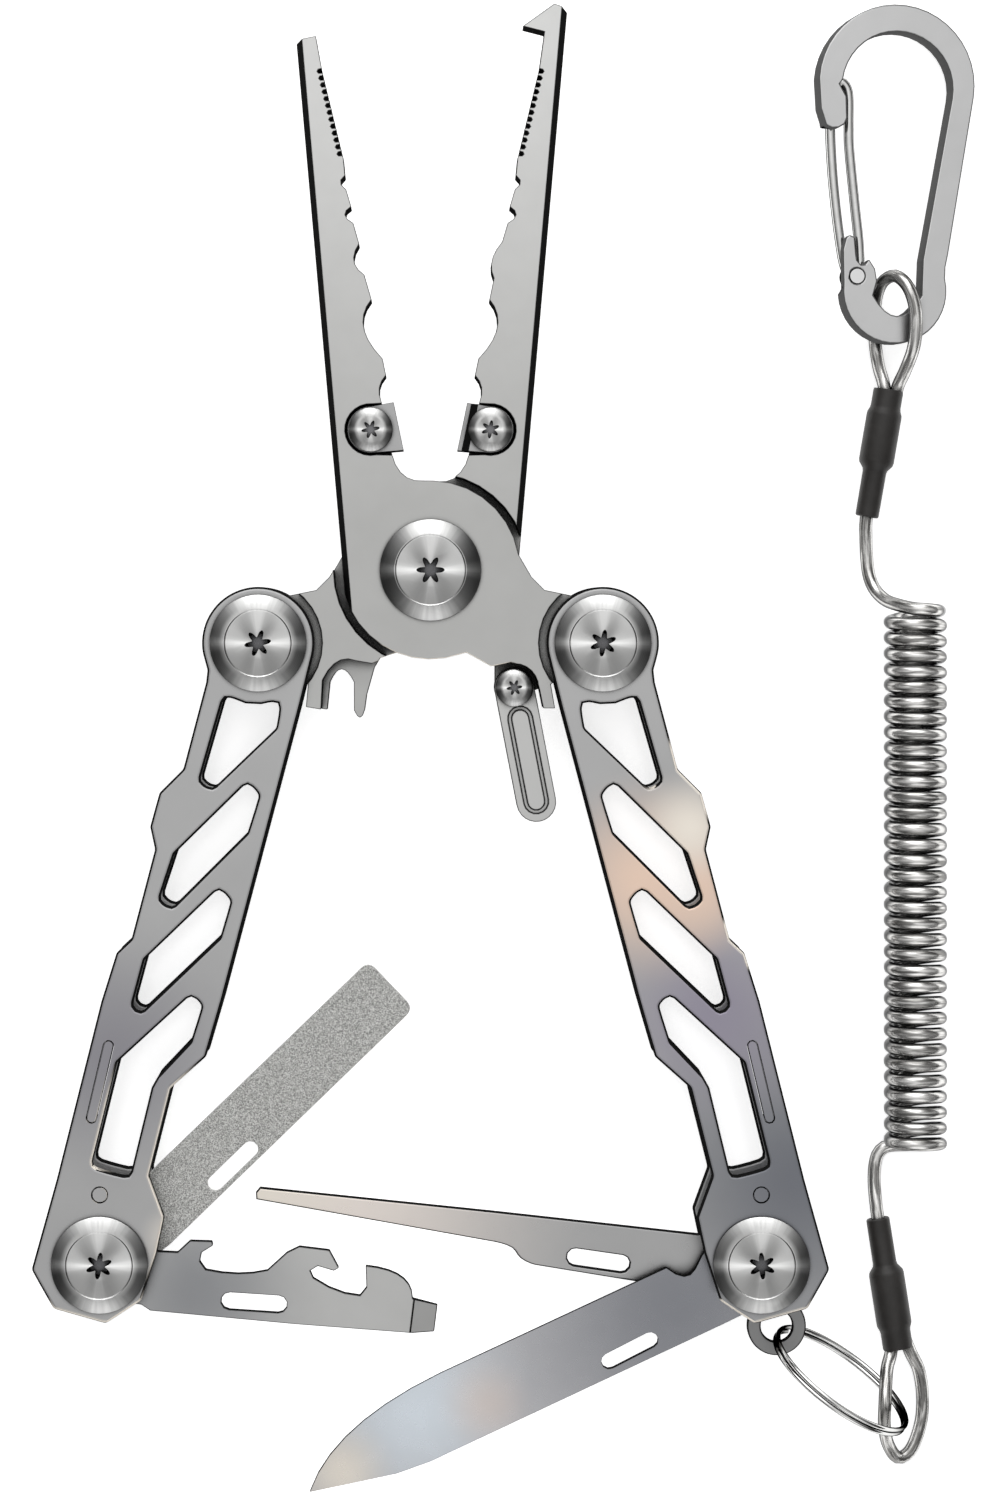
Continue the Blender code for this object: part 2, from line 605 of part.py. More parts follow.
def lanyard_point(point, hinge):
    """A point of the lanyard in the frame of the hinge it rides on."""
    return Vector(point) - Vector((*hinge, 0.0))


def cord_part(name, route, hinge, joint, material):
    points = [lanyard_point(p, hinge) for p in smooth_route(route, CORD * 2.2)]
    thing = add_curve(name, [points], cyclic=False)
    curve = thing.data
    bpy.data.objects.remove(thing)
    curve.dimensions = "3D"
    curve.bevel_depth = CORD / 2 * MM
    curve.bevel_resolution = 2
    curve.use_fill_caps = True
    return add_part(name, curve, joint, material)


def sleeve_mesh(ends, hinge, narrow):
    """Heat-shrink over a crimp: narrow ends on a wider middle."""
    start = lanyard_point(ends[0], hinge)
    along = lanyard_point(ends[1], hinge) - start
    length = along.length
    first, second = narrow
    profile = [(0, 0), (first, 0), (first, 2.6), (SLEEVE_RADIUS, 3.8), (SLEEVE_RADIUS, length - 8.2),
               (second, length - 7.0), (second, length), (0, length)]
    mesh = turned(profile, (0, 0), 16)
    mesh.transform(Matrix.Translation(start * MM) @ along.to_track_quat("Z", "Y").to_matrix().to_4x4())
    return mesh


def ring_frame(hinge):
    """The split ring's place: it leans on edge, threaded through the tab's eye."""
    lowest = RING_WIRE / 2 + 0.1
    height = lowest + RING_RADIUS * math.sin(math.radians(RING_TILT))
    centre = Vector((RING_CENTRE[0] - hinge[0], RING_CENTRE[1] - hinge[1], height)) * MM
    heading = Matrix.Rotation(math.radians(-34.0), 4, "Z")
    lean = Matrix.Rotation(math.radians(-RING_TILT), 4, "X")
    return Matrix.Translation(centre) @ heading @ lean


def ring_mesh(hinge):
    wire = RING_WIRE / 2
    profile = [(RING_RADIUS + wire * math.cos(a), wire * math.sin(a))
               for a in (math.radians(30 + 60 * k) for k in range(6))]
    mesh = turned(profile, (0, 0), 32)
    mesh.transform(ring_frame(hinge))
    return mesh


def coil_mesh(hinge):
    """The outer shape of the coiled stretch, laid along Y."""
    radius = COIL_DIAMETER / 2
    length = COIL_ENDS[1] - COIL_ENDS[0]
    profile = [(0, 0), (radius - 0.4, 0), (radius, 0.4), (radius, length - 0.4), (radius - 0.4, length),
               (0, length)]
    mesh = turned(profile, (0, 0), 20)
    place = Vector((COIL_X - hinge[0], COIL_ENDS[0] - hinge[1], radius + 0.1)) * MM
    mesh.transform(Matrix.Translation(place) @ Matrix.Rotation(math.radians(-90), 4, "X"))
    return mesh


# ---------------------------------------------------------------- carabiner

EYE = (67.6, 41.0)             # centre of the carabiner's lower bend
CROWN = (67.9, 71.3)           # centre of its upper bend
GATE_PIN = (61.9, 43.1)
REAR_HALF = (-1.0, 1.95)
CARABINER_REACH = 12.2         # from the lower bend's centre to the edge that rests on the surface


def eye_frame(points):
    """Carabiner points measured from its lower bend's centre."""
    return [(x - EYE[0], y - EYE[1]) for x, y in points]


def carabiner_mesh():
    """A flat bent body with a hooked nose; its rear half is relieved for the wire gate."""
    outer = [*arc(CROWN, 11.7, 176, -9, 22), (75.6, 46.5), (75.2, 44.6),
             *arc(EYE, 7.75, 14, -186, 22), (59.8, 46.9)]
    lobe = [*bow((59.9, 47.4), (60.5, 49.0), (61.5, 48.8), 3), (61.7, 46.6),
            *bow((61.9, 45.4), (62.8, 44.7), (63.7, 45.6), 3)]
    inner = [(64.6, 44.2), (64.9, 42.4), *bow((64.3, 40.3), (67.9, 37.3), (71.6, 40.3), 8),
             (71.8, 45.6), *arc((68.0, 70.7), 8.3, -10, 172, 20)]
    nose = [(59.3, 71.2), (60.3, 69.4), (60.4, 66.2), *bow((60.0, 65.3), (58.7, 64.7), (57.3, 65.1), 3),
            (56.5, 67.6)]
    outline = eye_frame([*outer, *lobe, *inner, *nose])
    mesh = prism(outline, (0.0, CARABINER_THICKNESS), [circle(eye_frame([GATE_PIN])[0], 1.2, 16)])
    nose_room = eye_frame([(57.4, 64.0), (63.5, 64.0), (63.5, 74.6), (57.8, 74.6), (57.4, 70.0)])
    hinge_room = eye_frame([(58.0, 51.0), *arc(GATE_PIN, 3.1, 180, 310, 10), (67.5, 43.0), (67.5, 51.0)])
    return cut(mesh, prism(nose_room, REAR_HALF), prism(hinge_room, REAR_HALF))


def gate_mesh():
    """The sprung wire gate: one bent wire on an eye around the gate pin."""
    level = 1.0
    route = [(60.8, 44.4), (60.3, 46.4), (59.5, 52.0), (58.8, 59.0), (58.5, 66.0), (58.9, 70.3),
             (60.1, 71.8), (61.2, 70.3), (61.3, 65.5), (61.4, 62.0), (62.2, 54.0), (62.8, 48.5),
             (63.0, 44.4)]
    knots = [(x - GATE_PIN[0], y - GATE_PIN[1], level) for x, y in route]
    wire = tube(smooth_route(knots, 2.2), GATE_WIRE, 1)
    solid = turned([(0, 0.2), (GATE_EYE, 0.2), (GATE_EYE, 1.8), (0, 1.8)], (0, 0), 20)
    bore = turned([(0, -1.0), (1.2, -1.0), (1.2, 3.0), (0, 3.0)], (0, 0), 16)
    return cut(joined(solid, wire), bore)


# ---------------------------------------------------------------- assembly

def tidy_scene():
    for thing in list(bpy.data.objects):
        bpy.data.objects.remove(thing)


def build():
    materials = {
        "jaw": surface("jaw_steel", (0.56, 0.56, 0.55), 0.34),
        "handle_left": surface("left_handle_steel", (0.50, 0.50, 0.52), 0.3),
        "handle_right": surface("right_handle_steel", (0.52, 0.51, 0.53), 0.28),
        "screw": surface("screw_steel", (0.72, 0.72, 0.71), 0.22),
        "blade": surface("blade_steel", (0.58, 0.59, 0.61), 0.22),
        "file": surface("file_steel", (0.42, 0.41, 0.40), 0.6),
        "dark": surface("dark_steel", (0.22, 0.22, 0.23), 0.4),
        "carbide": surface("carbide", (0.50, 0.50, 0.50), 0.4),
        "cord": surface("coated_wire", (0.55, 0.54, 0.52), 0.15, 0.6),
        "sleeve": surface("heat_shrink", (0.03, 0.03, 0.03), 0.6, 0.0),
        "chrome": surface("chrome", (0.78, 0.78, 0.78), 0.1),
        "carabiner": surface("carabiner_steel", (0.60, 0.60, 0.59), 0.35),
    }
    jaw, screw, blade = materials["jaw"], materials["screw"], materials["blade"]

    root = add_joint("jaw_pivot_axis", (0, 0))
    back = add_joint("back_jaw_axis", (0, 0))
    add_part("front_jaw", front_jaw_mesh(), root, jaw)
    add_part("back_jaw", back_jaw_mesh(), back, jaw)
    add_part("main_pivot_screw", pivot_screw((11.9, 13.3), 7.35, 2.0, 3.2), root, screw)
    add_part("main_pivot_nut", barrel_nut((0.0, 2.3), 7.35, (3.2, 2.3), 11.6), root, screw)
    for side, word, joint in ((-1, "left", root), (1, "right", back)):
        centre = (-side * CUTTER_SCREW[0], CUTTER_SCREW[1])
        add_part(word + "_cutter", cutter_mesh(side, side > 0), joint, materials["carbide"])
        add_part(word + "_cutter_screw", small_screw(centre, (11.6, 12.4), 4.2, 3.2, 1.2), joint, screw)

    lever = add_joint("lock_lever_axis", LEVER_PIVOT, 10.9)
    add_part("lock_lever", lever_mesh(), lever, jaw)
    add_part("lock_lever_screw", small_screw(LEVER_PIVOT, (10.2, 11.2), 4.8, 2.75, 1.1), root, screw)

    lower = {}
    handles = {}
    for side, word, parent in ((-1, "left", back), (1, "right", root)):
        place = (side * HANDLE_PIVOT[0], HANDLE_PIVOT[1])
        handles[word] = add_joint(word + "_handle_axis", place, side * HANDLE_TILT, parent)
        add_handle(side, word, handles[word], materials)
        lower[word] = (0.0, -HANDLE_LENGTH)

    awl_level, knife_level, file_level, opener_level = TOOL_LEVELS
    tools = (
        ("file", "left", 90 - FILE_OPEN, file_mesh(file_level), materials["file"]),
        ("opener", "left", 90 - OPENER_OPEN, opener_mesh(opener_level), blade),
        ("awl", "right", 90 + AWL_OPEN, awl_mesh(awl_level), blade),
        ("knife", "right", 90 + KNIFE_OPEN, knife_mesh(knife_level), blade),
        ("lanyard_tab", "right", 90 + TAB_TURN, tab_mesh(file_level), materials["dark"]),
        ("left_washer_rear", "left", 0, washer_mesh(awl_level), materials["dark"]),
        ("left_washer_middle", "left", 0, washer_mesh(knife_level), materials["dark"]),
        ("right_washer_front", "right", 0, washer_mesh(opener_level), materials["dark"]),
    )
    for name, word, turn, mesh, material in tools:
        axis = add_joint(name + "_axis", lower[word], turn, handles[word])
        add_part(name, mesh, axis, material)

    hinge = tab_eye()
    lanyard = add_joint("lanyard_axis", hinge)
    cord = materials["cord"]
    add_part("split_ring", ring_mesh(hinge), lanyard, materials["chrome"])
    cord_part("cord_bottom_loop", BOTTOM_LOOP, hinge, lanyard, cord)
    sleeve = materials["sleeve"]
    add_part("bottom_sleeve", sleeve_mesh(BOTTOM_SLEEVE, hinge, (2.05, 1.6)), lanyard, sleeve)
    cord_part("cord_bottom_lead", BOTTOM_LEAD, hinge, lanyard, cord)
    add_part("lanyard_coil", coil_mesh(hinge), lanyard, cord)
    upper = add_joint("lanyard_stretch_axis", (0, 0))
    cord_part("cord_top_lead", TOP_LEAD, (0, 0), upper, cord)
    add_part("top_sleeve", sleeve_mesh(TOP_SLEEVE[::-1], (0, 0), (1.95, 1.6)), upper, sleeve)
    cord_part("cord_top_loop", TOP_LOOP, (0, 0), upper, cord)

    edge_height = CARABINER_REACH * math.sin(math.radians(CARABINER_TILT)) + 0.15
    clip = add_joint("carabiner_axis", (*EYE, edge_height), 0, None, CARABINER_TILT)
    add_part("carabiner_body", carabiner_mesh(), clip, materials["carabiner"])
    pin_place = eye_frame([GATE_PIN])[0]
    rivet = [(0, 0.1), (0.9, 0.1), (0.9, CARABINER_THICKNESS), (0, CARABINER_THICKNESS)]
    pin = turned(rivet, pin_place, 16)
    add_part("gate_rivet", pin, clip, materials["chrome"])
    gate = add_joint("gate_axis", pin_place, 0, clip)
    add_part("carabiner_gate", gate_mesh(), gate, materials["chrome"])


def tab_eye():
    """Where the split ring passes through the tab's eye, on the lanyard's hinge axis."""
    lean = math.radians(HANDLE_TILT)
    x = HANDLE_PIVOT[0] + (HANDLE_LENGTH + TAB_REACH) * math.sin(lean)
    y = HANDLE_PIVOT[1] - (HANDLE_LENGTH + TAB_REACH) * math.cos(lean)
    return (x, y)


tidy_scene()
build()
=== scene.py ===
"""Visual model of the folding fishing plier multi-tool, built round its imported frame.

Lengths in the constants are millimetres in the row's frame: +X right, +Y along the open jaws,
+Z towards the front.
"""
import math

import bmesh
import bpy
from mathutils import Matrix, Vector


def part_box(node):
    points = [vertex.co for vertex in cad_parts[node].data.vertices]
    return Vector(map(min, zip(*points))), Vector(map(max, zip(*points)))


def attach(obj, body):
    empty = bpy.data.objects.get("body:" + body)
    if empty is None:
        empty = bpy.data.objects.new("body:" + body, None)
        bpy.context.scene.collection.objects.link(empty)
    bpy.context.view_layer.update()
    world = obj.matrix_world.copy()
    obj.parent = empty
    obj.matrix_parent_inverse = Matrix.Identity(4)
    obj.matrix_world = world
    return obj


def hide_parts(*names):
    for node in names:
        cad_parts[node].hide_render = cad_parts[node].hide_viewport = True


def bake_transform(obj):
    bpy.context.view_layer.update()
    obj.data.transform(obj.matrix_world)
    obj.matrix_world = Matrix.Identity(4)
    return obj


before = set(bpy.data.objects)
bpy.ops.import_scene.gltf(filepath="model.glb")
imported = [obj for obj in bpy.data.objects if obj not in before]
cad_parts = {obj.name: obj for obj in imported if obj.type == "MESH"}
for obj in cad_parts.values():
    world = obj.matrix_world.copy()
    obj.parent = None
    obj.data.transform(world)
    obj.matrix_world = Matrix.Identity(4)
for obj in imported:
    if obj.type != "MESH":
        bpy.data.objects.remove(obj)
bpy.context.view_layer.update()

MM = 0.001

# Camera: straight down over the tool
CAMERA_PLACE = (0.0, -5.1, 633.0)
FIELD_HEIGHT = 217.4           # height that the picture covers at the level of the front faces
FIELD_DEPTH = 620.0            # from the camera down to those faces
VIEW_CENTRE = (9.35, -26.1)

# Pivots
HANDLE_PIVOT = (25.0, -10.6)
HANDLE_LENGTH = 93.0
HANDLE_TILT = 14.3
CUTTER_PLACE = (-8.7, 20.4)
LEVER_PIVOT = (12.2, -17.1)

# Lanyard
CORD = 1.95
COIL_X = 71.2
COIL_HEIGHT = 4.7
COIL_RADIUS = 3.72
COIL_ENDS = (-84.86, -6.1)
COIL_START = 300.0             # degrees round the coil's axis where its lower end begins
COIL_TURNS = 34.194
COIL_LEVEL = 0.85              # 1 would hold the front of every turn square to the coil's axis
COIL_STEPS = 20                # points in one turn
ROUTE_STEP = 0.8               # between points along the leads and loops
ROUTE_PARTS = 24               # short lengths measured between two given points of a route
BOTTOM_SLEEVE = ((68.9, -114.6, 2.6), (65.9, -95.4, 2.5))
TOP_SLEEVE = ((64.3, 7.9, 2.5), (67.5, 26.6, 2.6))
SLEEVE_RADIUS = 2.4
SLEEVE_SPREAD = 1.08           # the sleeves are a little wider than tall
BOTTOM_LOOP = ((68.1, -113.2, 2.7), (67.75, -115.5, 3.0), (67.1, -117.2, 4.3), (66.7, -119.6, 6.2),
               (66.45, -122.3, 7.3), (66.5, -125.2, 6.2), (67.3, -128.5, 3.6), (69.0, -130.9, 1.55),
               (71.0, -129.8, 1.05), (72.4, -126.0, 1.05), (72.7, -122.0, 1.05), (72.1, -118.0, 1.35),
               (70.7, -115.1, 2.3), (69.4, -111.5, 2.6))
BOTTOM_LEAD = ((67.2, -103.0, 2.55), (66.1, -96.4, 2.5), (65.7, -93.4, 2.1), (65.5, -89.9, 1.3),
               (65.75, -87.2, 1.05), (66.4, -85.7, 1.05), (67.7, -84.95, 1.05), (70.6, -84.8, 1.05))
TOP_LEAD = ((73.9, -5.85, 7.2), (72.4, -5.75, 8.2), (70.6, -5.6, 8.1), (68.6, -5.1, 6.6),
            (66.9, -4.4, 4.6), (65.5, -2.9, 3.0), (64.7, -0.9, 2.2), (64.35, 1.8, 2.0),
            (64.2, 5.0, 2.2), (64.3, 8.2, 2.5), (65.9, 17.5, 2.55), (67.0, 24.5, 2.6))
TOP_LOOP = ((66.85, 27.3, 2.4), (66.2, 30.0, 1.4), (65.7, 33.5, 1.1), (65.6, 37.3, 1.1),
            (65.8, 40.3, 1.4), (66.6, 42.5, 3.2), (68.2, 43.2, 5.4), (69.8, 41.6, 7.0),
            (70.8, 38.8, 7.4), (71.0, 35.5, 7.5), (70.7, 32.4, 6.6), (69.7, 29.2, 4.2),
            (68.9, 27.25, 2.8), (68.3, 24.8, 2.7))

# Carabiner
EYE = (67.6, 41.0)
GATE_PIN = (61.9, 43.1)
CARABINER_TILT = 8.0
CARABINER_REACH = 12.2         # from the lower bend's centre to the edge that rests on the floor
CARABINER_LIFT = 0.15          # between that edge and the floor
GATE_WIRE = 1.5
GATE_LEVEL = 1.0               # the middle of the gate's wire above the carabiner's rear face
GATE_ROUTE = ((60.8, 44.4), (60.3, 46.4), (59.5, 52.0), (58.8, 59.0), (58.5, 66.0), (58.9, 70.3),
              (60.1, 71.8), (61.2, 70.3), (61.3, 65.5), (61.4, 62.0), (62.2, 54.0), (62.8, 48.5),
              (63.0, 44.4))

# Rounded-over edges
PLATE_EASE = 0.5
TOOL_EASE = 0.3
JAW_EASE = 0.12
SMALL_HOLE = 30.0              # holes in the handles under this area, in square mm, stay sharp

# Split ring
RING_RADIUS = 11.2
RING_WIRE = 0.72
RING_TILT = 77.0
RING_HEADING = -34.0
RING_CENTRE = (59.58, -117.63)
RING_LIFT = 0.85               # from the floor to the middle of the wire at its lowest
RING_ENDS = 140.0              # degrees round the ring to the ends of its wire
RING_STEP = 14.0               # degrees over which the wire passes from one turn to the next
RING_STEPS = 176

# Screws: head radius, underside, top, shank radius and lower end of the shank
MAIN_SCREW = (7.35, 11.9, 13.3, 2.0, 3.2)
PIVOT_SCREW = (7.0, 13.2, 14.2, 1.4, 1.9)
CUTTER_SCREW = (3.2, 11.6, 12.4, 1.2, 4.2)
LEVER_SCREW = (2.75, 10.2, 11.2, 1.1, 4.8)
WIDE_HEAD = 4.0                # screws with a larger head radius have a conical rim round a disc
STAR_STEPS = 72

# Light: (height, brightness) stops from the horizon up, for the bright and the dim sides of the dome
DOME_BRIGHT = ((0.0, 0.0), (0.15, 0.02), (0.35, 0.9), (0.60, 1.0), (0.80, 0.7), (0.92, 0.42),
               (1.0, 0.36))
DOME_DIM = ((0.0, 0.0), (0.20, 0.0), (0.50, 0.04), (0.70, 0.12), (0.85, 0.25), (1.0, 0.36))
DOME_STRENGTH = 2.4
DOME_LEAN = (0.6, 1.4)         # share of that strength at the foot and at the top of the picture
DOME_HEADING = 95.0            # degrees from +X; the dome is bright this way and the opposite way
OFF_WHITE = (0.92, 0.92, 0.92, 1.0)
FLOOR_REACH = 3.0              # metres from its middle to each side
FLOOR_DROP = 0.0002            # metres below height 0
FLOOR_GLOW = 0.7

# Surfaces
# painted shade: near neighbours darken a surface within this reach
SHADE_REACH = 2.5 * MM         # how near a neighbour has to be to darken a surface
FLAT_ABOVE = 0.99              # a normal's height on the flats of a steel piece
STEEP_BELOW = 0.94             # and on its walls and rounded edges
# painted shade: the walls are drawn this dark to stand in for dark reflections
WALL_SHADE = 0.012                   # how bright those walls are
SHARP = math.radians(35)       # edges with a sharper bend are not shaded smooth
SHARP_ON_PLATE = math.radians(9)

# Painted highlights, reflections and shade on the flats of the steel, with some tempering colour on the
# right handle: (centre, reach, colour, share)
PAINTED_HIGHLIGHT_CREAM = (1.0, 0.93, 0.83)
PEACH_TEMPER_AND_SHEEN = (0.95, 0.72, 0.58)
VIOLET_TEMPER_AND_SHADE = (0.34, 0.31, 0.40)
PAINTED_SHADE_DUSK = (0.17, 0.18, 0.21)
PAINTED_SKY_REFLECTION = (0.86, 0.93, 1.0)
PAINTED_SHEEN_PALE = (0.70, 0.70, 0.69)
PAINTED_SHADE_SLATE = (0.26, 0.25, 0.29)
PAINTED_SHEEN_BLUSH = (0.96, 0.88, 0.82)
JAW_PAINTED_SHEEN = (((0.0, 85.0, 12.0), 80.0, PAINTED_SHEEN_PALE, 1.0),)
RIGHT_TEMPER_AND_PAINTED_LIGHT = (((53.0, -88.0, 12.0), 32.0, PAINTED_SHADE_DUSK, 0.85), ((41.0, -64.0, 12.0), 20.0, VIOLET_TEMPER_AND_SHADE, 0.8),
               ((31.0, -45.0, 12.0), 17.0, PEACH_TEMPER_AND_SHEEN, 1.0), ((39.0, -46.0, 12.0), 12.0, PEACH_TEMPER_AND_SHEEN, 0.9),
               ((37.6, -37.5, 12.0), 9.0, PAINTED_HIGHLIGHT_CREAM, 1.0))
LEFT_PAINTED_LIGHT = (((-46.0, -70.0, 12.0), 22.0, PAINTED_SHADE_SLATE, 0.7), ((-37.0, -97.0, 12.0), 6.0, PAINTED_HIGHLIGHT_CREAM, 0.8))
OPENER_PAINTED_SHADE = (((-34.0, -105.0, 10.0), 20.0, PAINTED_SHADE_DUSK, 0.6),)
AWL_PAINTED_HIGHLIGHT = (((-14.0, -92.0, 4.0), 40.0, PAINTED_SHEEN_BLUSH, 1.0), ((-27.0, -90.0, 4.0), 18.0, PAINTED_HIGHLIGHT_CREAM, 1.0))
KNIFE_PAINTED_LIGHT = (((36.0, -107.0, 6.0), 34.0, PAINTED_SHADE_DUSK, 0.7), ((-2.0, -123.0, 6.0), 19.0, PAINTED_SKY_REFLECTION, 1.0),
               ((-13.0, -132.0, 6.0), 9.0, PAINTED_HIGHLIGHT_CREAM, 1.0), ((8.0, -122.0, 6.0), 8.0, PEACH_TEMPER_AND_SHEEN, 0.4))

# Painted highlights on edges: (centre, reach, heading that the edge faces)
RIGHT_PAINTED_GLINTS = (((37.4, -30.4, 12.0), 7.0, (0.7, 0.7, 0.0)), ((44.3, -54.3, 12.0), 4.5, (0.7, 0.7, 0.0)),
                ((48.0, -110.0, 12.0), 9.0, (0.2, -1.0, 0.0)))
LEFT_PAINTED_GLINTS = (((-39.5, -87.0, 12.0), 17.0, (1.0, -0.1, 0.0)),
               ((-48.0, -110.0, 12.0), 9.0, (0.0, -1.0, 0.0)))
JAW_PAINTED_GLINTS = (((2.0, -13.0, 11.0), 11.0, (0.1, -1.0, 0.0)),)


# ---------------------------------------------------------------- camera, light and floor

def add_camera():
    data = bpy.data.cameras.new("camera")
    data.sensor_width = 36.0
    data.lens = data.sensor_width * FIELD_DEPTH / FIELD_HEIGHT
    data.shift_x = (VIEW_CENTRE[0] - CAMERA_PLACE[0]) / FIELD_HEIGHT
    data.shift_y = (VIEW_CENTRE[1] - CAMERA_PLACE[1]) / FIELD_HEIGHT
    data.clip_start = 0.01
    camera = bpy.data.objects.new("camera", data)
    camera.location = Vector(CAMERA_PLACE) * MM
    bpy.context.scene.collection.objects.link(camera)
    bpy.context.scene.camera = camera


def add_node(tree, kind, inputs=None, **settings):
    """A shader node with its settings, and its inputs set to values or linked to sockets."""
    node = tree.nodes.new(kind)
    for key, value in settings.items():
        setattr(node, key, value)
    for key, value in (inputs or {}).items():
        if isinstance(value, bpy.types.NodeSocket):
            tree.links.new(value, node.inputs[key])
        else:
            node.inputs[key].default_value = value
    return node


def maths(tree, operation, first, second=0.0):
    return add_node(tree, "ShaderNodeMath", {0: first, 1: second}, operation=operation).outputs[0]


def spread(tree, value, low, high, to_low=0.0, to_high=1.0, smooth=True):
    """The value mapped from one span to another, clamped."""
    kind = "SMOOTHSTEP" if smooth else "LINEAR"
    node = add_node(tree, "ShaderNodeMapRange", {"Value": value, "From Min": low, "From Max": high,
                                                 "To Min": to_low, "To Max": to_high},
                    interpolation_type=kind)
    return node.outputs["Result"]


def blended(tree, share, first, second):
    """Two colours mixed by a share."""
    node = add_node(tree, "ShaderNodeMix", data_type="RGBA")
    for socket, value in ((node.inputs[0], share), (node.inputs[6], first), (node.inputs[7], second)):
        if isinstance(value, bpy.types.NodeSocket):
            tree.links.new(value, socket)
        else:
            socket.default_value = value if socket == node.inputs[0] else (*value[:3], 1.0)
    return node.outputs[2]


def ramp(tree, share, stops):
    """A colour ramp through (position, brightness) stops."""
    node = add_node(tree, "ShaderNodeValToRGB", {"Fac": share})
    elements = node.color_ramp.elements
    while len(elements) < len(stops):
        elements.new(0.5)
    for element, (position, level) in zip(elements, stops):
        element.position = position
        element.color = (level, level, level, 1.0)
    return node.outputs["Color"]


def light_dome():
    """A soft studio dome: bright above and below the picture, dim at the sides, dark at the horizon."""
    world = bpy.data.worlds.new("studio")
    world.use_nodes = True
    bpy.context.scene.world = world
    tree = world.node_tree
    tree.nodes.clear()
    heading = add_node(tree, "ShaderNodeTexCoord").outputs["Generated"]
    axes = add_node(tree, "ShaderNodeSeparateXYZ", {"Vector": heading})
    turn = maths(tree, "SUBTRACT", maths(tree, "ARCTAN2", axes.outputs["Y"], axes.outputs["X"]),
                 math.radians(DOME_HEADING))
    twice = maths(tree, "MULTIPLY", maths(tree, "COSINE", maths(tree, "MULTIPLY", turn, 2.0)), 0.6)
    fourfold = maths(tree, "MULTIPLY", maths(tree, "COSINE", maths(tree, "MULTIPLY", turn, 4.0)), 0.4)
    facing = maths(tree, "ADD", twice, fourfold)
    level = blended(tree, spread(tree, facing, -0.45, 0.8), ramp(tree, axes.outputs["Z"], DOME_DIM),
                    ramp(tree, axes.outputs["Z"], DOME_BRIGHT))
    lean = spread(tree, axes.outputs["Y"], -0.35, 0.35, *(DOME_STRENGTH * share for share in DOME_LEAN))
    lights = add_node(tree, "ShaderNodeBackground", {"Color": level, "Strength": lean})
    backdrop = add_node(tree, "ShaderNodeBackground", {"Color": OFF_WHITE, "Strength": 1.0})
    rays = add_node(tree, "ShaderNodeLightPath")
    mix = add_node(tree, "ShaderNodeMixShader", {0: rays.outputs["Is Camera Ray"],
                                                 1: lights.outputs[0], 2: backdrop.outputs[0]})
    add_node(tree, "ShaderNodeOutputWorld", {"Surface": mix.outputs[0]})


def add_floor():
    mesh = bpy.data.meshes.new("floor")
    corners = ((-1, -1), (1, -1), (1, 1), (-1, 1))
    mesh.from_pydata([(x * FLOOR_REACH, y * FLOOR_REACH, 0) for x, y in corners], [], [(0, 1, 2, 3)])
    floor = bpy.data.objects.new("floor", mesh)
    floor.location.z = -FLOOR_DROP
    bpy.context.scene.collection.objects.link(floor)
    tree, shader = new_material("floor_white")
    shader.inputs["Base Color"].default_value = OFF_WHITE
    shader.inputs["Roughness"].default_value = 0.9
    shader.inputs["Emission Color"].default_value = (1.0, 1.0, 1.0, 1.0)
    shader.inputs["Emission Strength"].default_value = FLOOR_GLOW
    mesh.materials.append(bpy.data.materials["floor_white"])


# ---------------------------------------------------------------- materials

def new_material(name):
    material = bpy.data.materials.new(name)
    material.use_nodes = True
    tree = material.node_tree
    return tree, tree.nodes["Principled BSDF"]


def noise(tree, vector, scale, detail=3.0):
    node = add_node(tree, "ShaderNodeTexNoise", {"Vector": vector, "Scale": scale, "Detail": detail})
    return node.outputs["Fac"]


def distance(tree, position, centre):
    """How far a position is from a place given in millimetres, in metres."""
    return add_node(tree, "ShaderNodeVectorMath", {0: position, 1: Vector(centre) * MM},
                    operation="DISTANCE").outputs["Value"]


def openness(tree):
    """How free the surface is of near neighbours."""
    shade = add_node(tree, "ShaderNodeAmbientOcclusion", {"Distance": SHADE_REACH}, samples=6)
    return shade.outputs["AO"]


